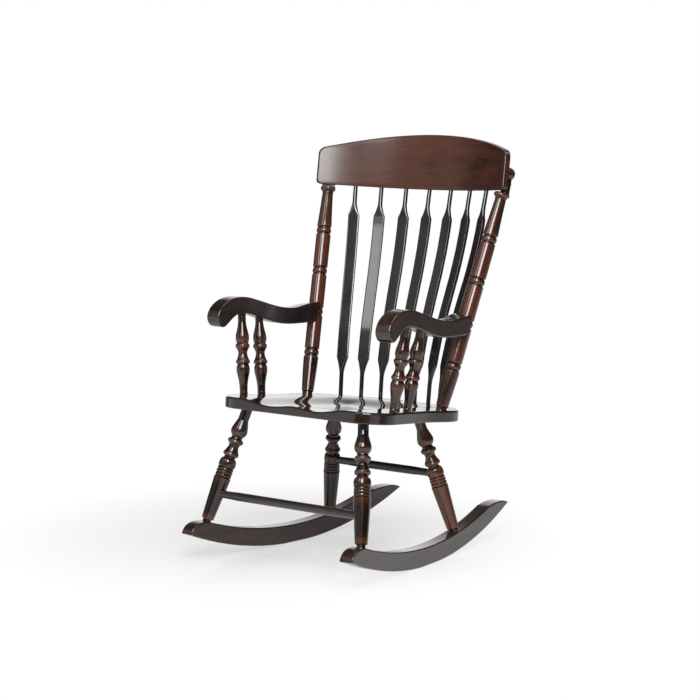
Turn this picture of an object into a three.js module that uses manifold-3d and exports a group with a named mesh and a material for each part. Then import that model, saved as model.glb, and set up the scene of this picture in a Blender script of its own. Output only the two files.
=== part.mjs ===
// A rocking chair of the Boston kind, in millimetres.
// +Z is up, the sitter faces -Y, and +X is the sitter's left.
// The origin is on the floor, under the middle of the two rockers.

import * as THREE from 'three';
import { mergeVertices } from 'three/addons/utils/BufferGeometryUtils.js';
import Module from 'manifold-3d';

const wasm = await Module();
wasm.setup();

const degrees = THREE.MathUtils.degToRad;
const { lerp, smoothstep } = THREE.MathUtils;

// Fits that every joint shares
const clearance = 0.3;
const curveGap = 0.6;
const cutRise = 14;
const turnedSides = 10;
const screwSides = 8;
const solverPasses = 12;

// Seat: a tilted plank with a saddle top
const seat = {
  height: 413.6,
  tilt: degrees(5.71),
  thickness: 31,
  frontY: -300,
  topRound: 5,
  bottomRound: 3,
  straightFrontHalf: 196,
  frontHalf: 274,
  frontHalfY: -215,
  waistHalf: 257,
  waistY: -48,
  rearHalf: 267,
  rearHalfY: 60,
  cornerHalf: 246,
  cornerY: 114,
  endHalf: 206,
  backMargin: 39,
  scoopDepth: 19,
  scoopFrontDepth: 13,
  scoopHalf: 176,
  scoopBackY: 150,
  scoopDeepY: 40,
  pommelHalf: 46,
  pommelBackY: -110,
};
const seatRowShares = [0, 0.01, 0.035, 0.08, 0.14, 0.24, 0.36, 0.5, 0.64, 0.78, 0.88, 0.95, 1];
const seatColumns = 16;
const seatSideSteps = 64;
const scoopFlatShare = 0.45;
const pommelShare = 0.55;

// Rockers: planks on edge, cut to one arc, that draw together towards the back
const rocker = {
  radius: 1030,
  topRadius: 1021,
  lowest: -18,
  frontTip: -416,
  backTip: 416,
  middleX: 230.2,
  height: 50,
  thickness: 40,
  bevel: 3,
  floorFlat: 96,
  frontNose: 64,
  frontNoseInset: 6,
  frontNoseRise: 6.5,
  backNose: 114,
  backNoseInset: 29,
  backNoseRise: 11,
};
const rockerToe = degrees(5.61);
const rockerSteps = 9;
const noseSteps = 5;

// Legs: four turnings alike, tenoned into the seat and the rockers
const leg = {
  frontTopX: 197.3,
  frontTopY: -246.5,
  frontFoot: -343.7,
  rearTopX: 144.8,
  rearTopY: 66.5,
  rearFoot: 134.6,
  radius: 23.2,
  neckRadius: 14.5,
  footRadius: 11.5,
  ankleRadius: 16.6,
  ankleHeight: 9,
  ankleStep: 2,
  turningHeight: 166,
  topNeck: 32,
  seatTenon: 20,
  rockerTenon: 22,
};
// Each point is a share of the turning's height, from the taper up, and of the leg's radius.
const legTurningShares = [
  [0, 1], [0.012, 0.905], [0.03, 0.957], [0.054, 0.957], [0.069, 0.905], [0.084, 0.961],
  [0.108, 0.961], [0.123, 0.905], [0.139, 0.948], [0.157, 0.927], [0.172, 0.884], [0.19, 0.974],
  [0.229, 1], [0.271, 0.974], [0.307, 0.888], [0.335, 0.66], [0.355, 0.668], [0.377, 0.875],
  [0.404, 0.94], [0.428, 0.888], [0.452, 0.776], [0.482, 0.698], [0.527, 0.603], [0.566, 0.655],
  [0.593, 0.841], [0.62, 0.94], [0.648, 0.879], [0.672, 0.664], [0.693, 0.629], [0.72, 0.75],
  [0.753, 0.914], [0.795, 0.978], [0.837, 0.944], [0.892, 0.836], [0.946, 0.724],
];

// Stretchers: a plain dowel between the front legs and another between the rear legs
const stretcher = {
  radius: 11.6,
  endRadius: 10.5,
  endTaper: 20,
  tenon: 13,
  frontHeight: 179,
  rearHeight: 221,
};

// Back posts: turned, with four groups of rings, and lapped behind the crest
const post = {
  footX: 231.7,
  footY: 51.4,
  radius: 20.8,
  neckRadius: 14,
  neckHeight: 6,
  ankleRadius: 16.6,
  ankleStep: 3,
  swellHeight: 101,
  firstRing: 120,
  ringSpacing: 119,
  ringHalf: 12.5,
  grooveOffset: 10,
  grooveDepth: 3.6,
  beadHalf: 7,
  beadStep: 1.2,
  waistRadius: 15.2,
  waistHeight: 590,
  shoulder: 602,
  shoulderHalf: 6,
  shoulderRadius: 21.6,
  lapRadius: 19.4,
  lapTopRadius: 15,
  lapHeight: 41,
  finialRadius: 20,
  finialHeight: 30,
  seatTenon: 24,
};
const postRecline = degrees(17.65);
const postSplay = degrees(6.78);
const ringCount = 4;
// Each point is a share of the finial's height and of its radius.
const finialShares = [[0.13, 0.9], [0.33, 1], [0.57, 0.99], [0.78, 0.85], [0.93, 0.58], [1, 0.3]];

// Crest: a bowed plank with an arched top, in front of the post tops
const crest = {
  overhang: 25,
  thickness: 18,
  bowRadius: 540,
  middleHeight: 154,
  topRadius: 1380,
  bottomRise: 11,
  cornerTop: 15,
  cornerBottom: 11,
  round: 4,
};
const crestLean = degrees(8.3);
const crestColumns = 24;
const crestRows = 3;

// Slats: seven arrow-shaped blades between the seat and the crest
const slat = {
  seatArcRadius: 354,
  seatArcBackY: 171,
  seatPitch: 59.6,
  crestPitch: 77.8,
  neckRadius: 6,
  bladeHalfWidth: 16,
  bladeHalfThickness: 5,
  seatTenon: 20,
  crestTenon: 18,
  bow: 12,
};
const slatCount = 7;
// Each row is a share of the bare length, of the way from round neck to flat blade, and of the bow.
const slatRowShares = [
  [0, 0, 0], [0.05, 0, -0.38], [0.1, 0, -0.72], [0.148, 0.5, -0.86], [0.178, 1, -0.92],
  [0.24, 1, -0.99], [0.3, 1, -0.98], [0.36, 1, -0.84], [0.42, 1, -0.6], [0.48, 1, -0.36],
  [0.54, 1, -0.1], [0.6, 1, 0.17], [0.67, 1, 0.36], [0.74, 1, 0.47], [0.8, 1, 0.46],
  [0.862, 1, 0.34], [0.892, 0.4, 0.25], [0.923, 0.04, 0.17], [1, 0, 0],
];
const slatSides = 8;
const bladeCornerShare = 0.2;
const roundOff = 1e-6;

// Arms: scrolled planks that saddle against the posts
const arm = {
  width: 45,
  length: 411,
  heightAboveSeat: 200.7,
  rise: 92,
  bevel: 4,
  cant: 7,
  postHeight: 244,
  spindleTenon: 16,
};
const armSplay = degrees(3.84);
const armCantShare = 0.35;
// Each point is a share of the length forward of the post's axis and of the arm's rise.
const armTopShares = [
  [0.012, 0.57], [0.085, 0.575], [0.129, 0.56], [0.18, 0.533], [0.229, 0.508], [0.294, 0.514],
  [0.367, 0.554], [0.44, 0.625], [0.513, 0.717], [0.584, 0.815], [0.65, 0.903], [0.708, 0.97],
  [0.762, 1], [0.822, 1], [0.883, 0.952], [0.927, 0.873], [0.965, 0.752], [0.986, 0.64],
];
const armScrollShares = [
  [0.999, 0.51], [1, 0.42], [0.993, 0.315], [0.976, 0.217], [0.951, 0.165], [0.927, 0.187],
];
const armUnderShares = [
  [0.896, 0.28], [0.857, 0.4], [0.82, 0.48], [0.781, 0.52], [0.737, 0.5], [0.684, 0.451],
  [0.647, 0.402], [0.586, 0.315], [0.518, 0.217], [0.453, 0.13], [0.38, 0.06], [0.302, 0.022],
  [0.214, 0.008], [0.146, 0.003], [0.092, 0], [0.052, 0.02],
];

// Arm spindles: two turnings alike under each arm
const spindle = {
  radius: 19.4,
  neckRadius: 10.9,
  footHeight: 10,
  footGroove: 0.9,
  turningHeight: 190,
  frontFootX: 255,
  frontFootY: -195,
  frontReach: 299,
  rearFootX: 249,
  rearFootY: -127,
  rearReach: 231,
  seatTenon: 18,
};
// Each point is a share of the turning's height, from the foot up, and of the spindle's radius.
const spindleTurningShares = [
  [0.01, 0.557], [0.074, 0.577], [0.137, 0.644], [0.2, 0.753], [0.263, 0.887], [0.305, 0.938],
  [0.337, 0.933], [0.368, 0.85], [0.389, 0.773], [0.403, 0.948], [0.426, 1], [0.447, 0.928],
  [0.463, 0.825], [0.5, 0.7], [0.542, 0.629], [0.574, 0.67], [0.605, 0.804], [0.632, 0.959],
  [0.653, 1], [0.674, 0.943], [0.689, 0.814], [0.711, 0.866], [0.753, 0.948], [0.795, 0.938],
  [0.842, 0.85], [0.895, 0.72], [0.947, 0.62],
];

// Screws, and the wooden plugs that hide their heads
const screw = {
  shankRadius: 2.2,
  headRadius: 4,
  headHeight: 3,
  tip: 6,
  plugRadius: 4.8,
  plugHeight: 4,
};
const crestScrew = { rise: 17, depth: 12, headSeat: 8 };
const armScrew = { rise: 40, depth: 38 };
const rockerScrew = { plugInset: 1.6 };

const finishes = {
  plank: { color: 0x3a1d15, roughness: 0.24, metalness: 0 },
  dark: { color: 0x2b1712, roughness: 0.24, metalness: 0 },
  turned: { color: 0x47221a, roughness: 0.24, metalness: 0 },
  slat: { color: 0x1d1210, roughness: 0.28, metalness: 0 },
  plug: { color: 0x4d281c, roughness: 0.3, metalness: 0 },
  steel: { color: 0x9a9a96, roughness: 0.35, metalness: 1 },
};

const chair = new THREE.Group();
const sides = [{ name: 'left', sign: 1 }, { name: 'right', sign: -1 }];

function addPiece(name, geometry, finish) {
  const mesh = new THREE.Mesh(geometry, new THREE.MeshStandardMaterial(finishes[finish]));
  mesh.name = name;
  chair.add(mesh);
  return mesh;
}

// Solids and cuts

function solidOf(geometry) {
  const bare = geometry.clone();
  bare.deleteAttribute('normal');
  bare.deleteAttribute('uv');
  const welded = mergeVertices(bare);
  return new wasm.Manifold(new wasm.Mesh({
    numProp: 3,
    vertProperties: new Float32Array(welded.attributes.position.array),
    triVerts: new Uint32Array(welded.index.array),
  }));
}

function geometryOf(solid) {
  const { vertProperties, triVerts } = solid.getMesh();
  const geometry = new THREE.BufferGeometry();
  geometry.setAttribute('position', new THREE.BufferAttribute(vertProperties, 3));
  geometry.setIndex(new THREE.BufferAttribute(triVerts, 1));
  return geometry;
}

// Cuts placed meshes out of another placed mesh.
function carve(mesh, cutters) {
  mesh.updateWorldMatrix(true, false);
  const toMesh = mesh.matrixWorld.clone().invert();
  let solid = solidOf(mesh.geometry);
  for (const cutter of cutters) {
    cutter.updateWorldMatrix(true, false);
    const tool = cutter.geometry.clone().applyMatrix4(cutter.matrixWorld).applyMatrix4(toMesh);
    solid = solid.subtract(solidOf(tool));
  }
  mesh.geometry = geometryOf(solid);
}

// Stands an object at a foot, its +Y along the given direction and its +X nearest the given side.
function stand(object, foot, direction, side = new THREE.Vector3(1, 0, 0)) {
  const across = side.clone().addScaledVector(direction, -side.dot(direction)).normalize();
  const outward = across.clone().cross(direction);
  object.quaternion.setFromRotationMatrix(new THREE.Matrix4().makeBasis(across, direction, outward));
  object.position.copy(foot);
  return object;
}

// A turned solid from [height, radius] points, closed onto its axis at both ends.
function turned(points, count) {
  const outline = points.map(([height, radius]) => new THREE.Vector2(radius, height));
  outline.unshift(new THREE.Vector2(0, points[0][0]));
  outline.push(new THREE.Vector2(0, points.at(-1)[0]));
  return new THREE.LatheGeometry(outline, count);
}

// A round cutter along an axis, between two distances from its foot.
function bore(axis, from, to, radius, count) {
  const cutter = new THREE.Mesh(turned([[from, radius], [to, radius]], count));
  return stand(cutter, axis.foot, axis.direction, axis.side);
}

function along(axis, distance) {
  return axis.foot.clone().addScaledVector(axis.direction, distance);
}

function axisBetween(foot, top, side) {
  const span = top.clone().sub(foot);
  return { foot, length: span.length(), direction: span.normalize(), side };
}

function scaledShares(table, base, height, radius) {
  return table.map(([up, out]) => [base + up * height, out * radius]);
}

// Moves every vertex of a unit form to its real place.
function shapeForm(geometry, place) {
  const position = geometry.attributes.position;
  const unit = new THREE.Vector3();
  for (let i = 0; i < position.count; i++) {
    unit.fromBufferAttribute(position, i);
    const point = place(unit);
    position.setXYZ(i, point.x, point.y, point.z);
  }
  return geometry;
}

// The drop of a rounded corner, at a distance in from the end of an edge.
function cornerDrop(distance, radius) {
  if (distance >= radius) return 0;
  return radius - Math.sqrt(radius ** 2 - (radius - distance) ** 2);
}

// A side outline in (Y, Z), given a width along X that is centred on X = 0.
function plankOnEdge(outline, width, bevel) {
  const geometry = new THREE.ExtrudeGeometry(new THREE.Shape(outline), {
    depth: width - 2 * bevel,
    bevelThickness: bevel,
    bevelSize: bevel,
    bevelOffset: -bevel,
    bevelSegments: 1,
    curveSegments: 1,
  });
  geometry.translate(0, 0, bevel - width / 2);
  const onEdge = new THREE.Matrix4().makeBasis(
    new THREE.Vector3(0, 1, 0), new THREE.Vector3(0, 0, 1), new THREE.Vector3(1, 0, 0));
  return geometry.applyMatrix4(onEdge);
}

// Seat surfaces over the floor plan

function seatTopAt(y) {
  return seat.height - Math.tan(seat.tilt) * y;
}

function seatBottomAt(y) {
  return seatTopAt(y) - seat.thickness / Math.cos(seat.tilt);
}

// Seat outline in plan: a straight front with round corners, then a waisted side.
const seatArcCentreY = slat.seatArcBackY - slat.seatArcRadius;

function seatBackAt(x) {
  return seatArcCentreY + Math.sqrt((slat.seatArcRadius + seat.backMargin) ** 2 - x ** 2);
}

const seatSide = new THREE.SplineCurve([
  new THREE.Vector2(seat.frontHalf, seat.frontHalfY),
  new THREE.Vector2(seat.waistHalf, seat.waistY),
  new THREE.Vector2(seat.rearHalf, seat.rearHalfY),
  new THREE.Vector2(seat.cornerHalf, seat.cornerY),
  new THREE.Vector2(seat.endHalf, seatBackAt(seat.endHalf)),
]).getPoints(seatSideSteps);

function seatHalfAt(y) {
  if (y <= seat.frontHalfY) {
    const reach = (seat.frontHalfY - y) / (seat.frontHalfY - seat.frontY);
    return lerp(seat.straightFrontHalf, seat.frontHalf, Math.sqrt(Math.max(0, 1 - reach ** 2)));
  }
  const next = seatSide.findIndex((point) => point.y >= y);
  if (next < 1) return next === 0 ? seat.frontHalf : seat.endHalf;
  const share = (y - seatSide[next - 1].y) / (seatSide[next].y - seatSide[next - 1].y);
  return lerp(seatSide[next - 1].x, seatSide[next].x, share);
}

// The saddle: a dish towards the back that runs out to the front in two scoops.
function scoopAt(x, y) {
  const across = 1 - smoothstep(Math.abs(x), seat.scoopHalf * scoopFlatShare, seat.scoopHalf);
  const back = 1 - smoothstep(y, seat.scoopDeepY, seat.scoopBackY);
  const front = 1 - smoothstep(y, seat.frontY, seat.scoopDeepY);
  const ridge = Math.exp(-((x / seat.pommelHalf) ** 2)) * (1 - smoothstep(y, seat.frontY, seat.pommelBackY));
  return lerp(seat.scoopDepth, seat.scoopFrontDepth, front) * across * back * (1 - pommelShare * ridge);
}

// Rocker profile along its own length

function rockerBottomAt(distance) {
  const flatHalf = rocker.floorFlat / 2;
  const away = Math.max(Math.abs(distance - rocker.lowest), flatHalf);
  return Math.sqrt(rocker.radius ** 2 - flatHalf ** 2) - Math.sqrt(rocker.radius ** 2 - away ** 2);
}

function rockerTopAt(distance) {
  const rise = rocker.topRadius - Math.sqrt(rocker.topRadius ** 2 - (distance - rocker.lowest) ** 2);
  return rocker.height + rise;
}

function rockerPoint(sign, distance, z) {
  const x = rocker.middleX - Math.sin(rockerToe) * distance;
  return new THREE.Vector3(sign * x, Math.cos(rockerToe) * distance, z);
}

// The end of a rocker, from the knee of its top edge down to its tip.
function nose(tip, length, inset, rise) {
  const inward = Math.sign(rocker.lowest - tip);
  const knee = tip + inward * length;
  return new THREE.QuadraticBezierCurve(
    new THREE.Vector2(knee, rockerTopAt(knee)),
    new THREE.Vector2(tip + inward * inset, rockerTopAt(knee) + rise),
    new THREE.Vector2(tip, rockerBottomAt(tip)),
  ).getPoints(noseSteps);
}

function edgePoints(from, to, heightAt) {
  return Array.from({ length: rockerSteps + 1 }, (_, step) => {
    const distance = lerp(from, to, step / rockerSteps);
    return new THREE.Vector2(distance, heightAt(distance));
  });
}

function rockerOutline() {
  const flatHalf = rocker.floorFlat / 2;
  const front = nose(rocker.frontTip, rocker.frontNose, rocker.frontNoseInset, rocker.frontNoseRise);
  const back = nose(rocker.backTip, rocker.backNose, rocker.backNoseInset, rocker.backNoseRise);
  return [
    ...edgePoints(rocker.frontTip, rocker.lowest - flatHalf, rockerBottomAt),
    ...edgePoints(rocker.lowest + flatHalf, rocker.backTip, rockerBottomAt),
    ...back.reverse().slice(1),
    ...edgePoints(back.at(-1).x, front[0].x, rockerTopAt).slice(1),
    ...front.slice(1, -1),
  ];
}

// Axes that the joints share

function legAxis(end, sign) {
  const footAt = leg[`${end}Foot`];
  const topY = leg[`${end}TopY`];
  const foot = rockerPoint(sign, footAt, rockerTopAt(footAt));
  return axisBetween(foot, new THREE.Vector3(sign * leg[`${end}TopX`], topY, seatBottomAt(topY)));
}

function postAxis(sign) {
  const foot = new THREE.Vector3(sign * post.footX, post.footY, seatTopAt(post.footY));
  const direction = new THREE.Vector3(sign * Math.tan(postSplay), Math.tan(postRecline), 1).normalize();
  return { foot, direction };
}

// The crest's ends stand on the posts' shoulders, and its back face runs through their axes.
const leftPost = postAxis(1);
const crestEndZ = along(leftPost, post.shoulder + post.shoulderHalf).z
  + post.shoulderRadius * Math.hypot(leftPost.direction.x, leftPost.direction.y) + curveGap;
const lapPoint = along(leftPost, (crestEndZ - leftPost.foot.z) / leftPost.direction.z);
const bowCentreY = lapPoint.y - Math.sqrt((crest.bowRadius + crest.thickness / 2) ** 2 - lapPoint.x ** 2);
const crestMiddleZ = crestEndZ - crest.bottomRise;
const crestHalfWidth = lapPoint.x + crest.overhang;

function crestBottomAt(x) {
  return crestMiddleZ + crest.bottomRise * (x / lapPoint.x) ** 2;
}

function crestTopAt(x) {
  const drop = crest.topRadius - Math.sqrt(crest.topRadius ** 2 - x ** 2);
  return crestMiddleZ + crest.middleHeight - drop;
}

// A point of the bowed plank, over a place along its bow and out from its middle layer.
function crestPoint(bowX, z, out) {
  const angle = Math.asin(bowX / crest.bowRadius);
  const radius = crest.bowRadius + out;
  const back = Math.tan(crestLean) * (z - crestEndZ);
  return new THREE.Vector3(radius * Math.sin(angle), bowCentreY + radius * Math.cos(angle) + back, z);
}

// The face of the lap, where a post's flat meets the crest's back.
function lapFrame(sign) {
  const angle = Math.atan2(lapPoint.x, lapPoint.y - bowCentreY);
  const steep = Math.tan(crestLean) * Math.cos(angle);
  return {
    origin: new THREE.Vector3(sign * lapPoint.x, lapPoint.y, lapPoint.z),
    across: new THREE.Vector3(Math.cos(angle), -sign * Math.sin(angle), 0),
    back: new THREE.Vector3(sign * Math.sin(angle), Math.cos(angle), -steep).normalize(),
    up: new THREE.Vector3(sign * steep * Math.sin(angle), steep * Math.cos(angle), 1).normalize(),
  };
}

function slatAxis(index) {
  const place = index - (slatCount - 1) / 2;
  const seatAngle = place * slat.seatPitch / slat.seatArcRadius;
  const footY = slat.seatArcBackY - slat.seatArcRadius * (1 - Math.cos(seatAngle));
  const foot = new THREE.Vector3(slat.seatArcRadius * Math.sin(seatAngle), footY, seatTopAt(footY));
  const crestAngle = place * slat.crestPitch / crest.bowRadius;
  const crestX = crest.bowRadius * Math.sin(crestAngle);
  const angle = (seatAngle + crestAngle) / 2;
  const side = new THREE.Vector3(Math.cos(angle), -Math.sin(angle), 0);
  return axisBetween(foot, crestPoint(crestX, crestBottomAt(crestX), 0), side);
}

// Arms lie in their own upright planes, from the post's axis forward.
const armBaseZ = seatTopAt(post.footY) + arm.heightAboveSeat;

function armFrame(sign) {
  const origin = along(postAxis(sign), arm.postHeight);
  origin.z = armBaseZ;
  const forward = new THREE.Vector3(sign * Math.sin(armSplay), -Math.cos(armSplay), 0);
  return { origin, forward };
}

function armUnderAt(reach) {
  const share = reach / arm.length;
  const next = armUnderShares.findIndex(([out]) => out < share);
  const [nearOut, nearUp] = armUnderShares[next];
  const [farOut, farUp] = armUnderShares[next - 1];
  return armBaseZ + arm.rise * lerp(nearUp, farUp, (share - nearOut) / (farOut - nearOut));
}

function spindleAxis(end, sign) {
  const { origin, forward } = armFrame(sign);
  const reach = spindle[`${end}Reach`];
  const footY = spindle[`${end}FootY`];
  const top = origin.clone().addScaledVector(forward, reach);
  top.z = armUnderAt(reach);
  return axisBetween(new THREE.Vector3(sign * spindle[`${end}FootX`], footY, seatTopAt(footY)), top);
}

function stretcherAxis(end) {
  const axis = legAxis(end, 1);
  const legPoint = along(axis, (stretcher[`${end}Height`] - axis.foot.z) / axis.direction.z);
  const half = legPoint.x - leg.radius + stretcher.tenon;
  const foot = new THREE.Vector3(-half, legPoint.y, legPoint.z);
  return axisBetween(foot, new THREE.Vector3(half, legPoint.y, legPoint.z), new THREE.Vector3(0, 1, 0));
}

// Screw axes

// The depth that a screw's head takes, with a hair's gap on each side.
const headRoom = screw.headHeight + 2 * clearance;

// How far below a leg's foot its axis leaves the bottom of the rocker.
function rockerDepth(axis) {
  let depth = rocker.height;
  for (let pass = 0; pass < solverPasses; pass++) {
    const point = along(axis, -depth);
    depth += (point.z - rockerBottomAt(point.y / Math.cos(rockerToe))) / axis.direction.z;
  }
  return depth;
}

function rockerScrewJoint(end, sign) {
  const axis = legAxis(end, sign);
  const depth = rockerDepth(axis);
  const length = depth - rockerScrew.plugInset - screw.plugHeight - headRoom;
  return {
    axis: { foot: along(axis, -length), direction: axis.direction },
    length,
    plugHeight: screw.plugHeight,
  };
}

function crestScrewJoint(sign) {
  const frame = lapFrame(sign);
  const entry = frame.origin.clone().addScaledVector(frame.up, crestScrew.rise);
  const axis = postAxis(sign);
  const height = (entry.z - axis.foot.z) / axis.direction.z;
  const share = (height - post.shoulder - post.shoulderHalf) / post.lapHeight;
  const neck = lerp(post.lapRadius, post.lapTopRadius, share);
  const reach = along(axis, height).sub(entry).dot(frame.back) + neck;
  return {
    axis: {
      foot: entry.addScaledVector(frame.back, crestScrew.headSeat),
      direction: frame.back.clone().negate(),
    },
    length: crestScrew.headSeat + crestScrew.depth,
    plugHeight: reach - crestScrew.headSeat - headRoom,
  };
}

function armScrewJoint(sign) {
  const { forward } = armFrame(sign);
  const axis = postAxis(sign);
  const centre = along(axis, (armBaseZ + armScrew.rise - axis.foot.z) / axis.direction.z);
  const reach = post.radius / Math.sqrt(1 - forward.dot(axis.direction) ** 2);
  const seatBack = reach - screw.plugHeight - headRoom;
  return {
    axis: { foot: centre.addScaledVector(forward, -seatBack), direction: forward },
    length: seatBack + armScrew.depth,
    plugHeight: screw.plugHeight,
  };
}

function shankBore(joint) {
  return bore(joint.axis, -clearance, joint.length + clearance, screw.shankRadius + clearance, screwSides);
}

function headBore(joint) {
  const depth = headRoom + joint.plugHeight + cutRise;
  return bore(joint.axis, -depth, 0, screw.plugRadius + clearance, screwSides);
}

// A screw's head rests a hair off its seat, with the plug behind it.
function addScrew(place, joint) {
  const head = -clearance - screw.headHeight;
  const shank = turned([
    [head, screw.headRadius], [-clearance, screw.headRadius], [-clearance, screw.shankRadius],
    [joint.length - screw.tip, screw.shankRadius], [joint.length, screw.shankRadius / 4],
  ], screwSides);
  stand(addPiece(`${place[0]}_screw_${place[1]}`, shank, 'steel'), joint.axis.foot, joint.axis.direction);
  const end = head - clearance;
  const plug = turned([[end - joint.plugHeight, screw.plugRadius], [end, screw.plugRadius]], screwSides);
  stand(addPiece(`${place[0]}_plug_${place[1]}`, plug, 'plug'), joint.axis.foot, joint.axis.direction);
}

// Sockets

function seatSockets() {
  const cutters = [];
  for (const { sign } of sides) {
    for (const end of ['front', 'rear']) {
      const legLine = legAxis(end, sign);
      cutters.push(bore(legLine, legLine.length - cutRise, legLine.length + leg.seatTenon + clearance,
        leg.neckRadius + clearance, turnedSides));
      cutters.push(bore(spindleAxis(end, sign), -spindle.seatTenon - clearance, cutRise,
        spindle.neckRadius + clearance, turnedSides));
    }
    cutters.push(bore(postAxis(sign), -post.seatTenon - clearance, cutRise,
      post.neckRadius + clearance, turnedSides));
  }
  for (let index = 0; index < slatCount; index++) {
    cutters.push(bore(slatAxis(index), -slat.seatTenon - clearance, cutRise,
      slat.neckRadius + clearance, slatSides));
  }
  return cutters;
}

// Pieces

// A unit slab has four levels through its thickness, and the rounding draws in the outer two.
function addSeat() {
  const rows = seatRowShares.length - 1;
  const slab = new THREE.BoxGeometry(2, 2, 2, seatColumns, rows, 3);
  const geometry = shapeForm(slab, (unit) => {
    const share = seatRowShares[Math.round((unit.y + 1) / 2 * rows)];
    const level = Math.round((unit.z + 1) * 1.5);
    const inset = [seat.bottomRound, 0, 0, seat.topRound][level];
    let half = seat.straightFrontHalf;
    for (let pass = 0; pass < solverPasses; pass++) {
      half = seatHalfAt(lerp(seat.frontY, seatBackAt(half), share));
    }
    const x = unit.x * (half - inset);
    const y = lerp(seat.frontY + inset, seatBackAt(unit.x * half) - inset, share);
    const top = -scoopAt(x, y);
    const levels = [-seat.thickness, seat.bottomRound - seat.thickness, top - seat.topRound, top];
    return new THREE.Vector3(x, y, levels[level]);
  });
  const mesh = addPiece('seat', geometry, 'plank');
  mesh.position.z = seat.height;
  mesh.rotation.x = -seat.tilt;
  carve(mesh, seatSockets());
}

function addRocker({ name, sign }) {
  const geometry = plankOnEdge(rockerOutline(), rocker.thickness, rocker.bevel);
  const mesh = addPiece(`rocker_${name}`, geometry, 'dark');
  mesh.position.x = sign * rocker.middleX;
  mesh.rotation.z = sign * rockerToe;
  const cutters = [];
  for (const end of ['front', 'rear']) {
    const axis = legAxis(end, sign);
    const joint = rockerScrewJoint(end, sign);
    cutters.push(bore(axis, -leg.rockerTenon - clearance, cutRise, leg.footRadius + clearance, turnedSides));
    cutters.push(shankBore(joint), headBore(joint));
    addScrew(['rocker', `${end}_${name}`], joint);
  }
  carve(mesh, cutters);
}

function addLeg(end, { name, sign }) {
  const axis = legAxis(end, sign);
  const turningTop = axis.length - leg.topNeck;
  const points = [
    [-leg.rockerTenon, leg.footRadius],
    [leg.ankleHeight - leg.ankleStep, leg.footRadius],
    [leg.ankleHeight, leg.ankleRadius],
    ...scaledShares(legTurningShares, turningTop - leg.turningHeight, leg.turningHeight, leg.radius),
    [turningTop, leg.neckRadius],
    [axis.length + leg.seatTenon, leg.neckRadius],
  ];
  const mesh = addPiece(`leg_${end}_${name}`, turned(points, turnedSides), 'turned');
  stand(mesh, axis.foot, axis.direction);
  const line = stretcherAxis(end);
  carve(mesh, [
    bore(line, -clearance, line.length + clearance, stretcher.endRadius + clearance, turnedSides),
    shankBore(rockerScrewJoint(end, sign)),
  ]);
}

function addStretcher(end) {
  const axis = stretcherAxis(end);
  const taper = stretcher.tenon + stretcher.endTaper;
  const shoulder = leg.radius + stretcher.tenon;
  const mesh = addPiece(`stretcher_${end}`, turned([
    [0, stretcher.endRadius], [shoulder, stretcher.endRadius], [shoulder + taper, stretcher.radius],
    [axis.length - shoulder - taper, stretcher.radius], [axis.length - shoulder, stretcher.endRadius],
    [axis.length, stretcher.endRadius],
  ], turnedSides), 'turned');
  stand(mesh, axis.foot, axis.direction, axis.side);
}

function ringPoints(height) {
  const deep = post.radius - post.grooveDepth;
  const rise = [
    [post.ringHalf, post.radius], [post.grooveOffset, deep], [post.beadHalf, post.radius - post.beadStep],
  ];
  return [
    ...rise.map(([offset, radius]) => [height - offset, radius]),
    [height, post.radius],
    ...rise.reverse().map(([offset, radius]) => [height + offset, radius]),
  ];
}

function postPoints() {
  const rings = Array.from({ length: ringCount }, (_, index) => post.firstRing + index * post.ringSpacing);
  const lapBase = post.shoulder + post.shoulderHalf;
  return [
    [-post.seatTenon, post.neckRadius],
    [post.neckHeight, post.neckRadius],
    [post.neckHeight + post.ankleStep, post.ankleRadius],
    [post.swellHeight, post.radius],
    ...rings.flatMap(ringPoints),
    [post.waistHeight, post.waistRadius],
    [post.shoulder - post.shoulderHalf, post.shoulderRadius - post.beadStep],
    [post.shoulder, post.shoulderRadius],
    [lapBase, post.shoulderRadius],
    [lapBase, post.lapRadius],
    [lapBase + post.lapHeight, post.lapTopRadius],
    ...scaledShares(finialShares, lapBase + post.lapHeight, post.finialHeight, post.finialRadius),
  ];
}

// The block that clears the crest's place out of a post's top.
function lapCutter(sign) {
  const frame = lapFrame(sign);
  const reach = 2 * post.shoulderRadius;
  const height = 2 * (post.lapHeight + post.finialHeight);
  const drop = curveGap + post.shoulderRadius * Math.abs(frame.back.z);
  const cutter = new THREE.Mesh(new THREE.BoxGeometry(2 * reach, reach, height));
  cutter.position.copy(frame.origin)
    .addScaledVector(frame.back, curveGap - reach / 2)
    .addScaledVector(frame.up, height / 2 - drop);
  cutter.quaternion.setFromRotationMatrix(new THREE.Matrix4().makeBasis(frame.across, frame.back, frame.up));
  return cutter;
}

function addPost({ name, sign }) {
  const axis = postAxis(sign);
  const mesh = addPiece(`back_post_${name}`, turned(postPoints(), turnedSides), 'turned');
  stand(mesh, axis.foot, axis.direction);
  const joints = [crestScrewJoint(sign), armScrewJoint(sign)];
  carve(mesh, [lapCutter(sign), ...joints.map(shankBore), ...joints.map(headBore)]);
  addScrew(['crest', name], joints[0]);
  addScrew(['arm', name], joints[1]);
}

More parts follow.
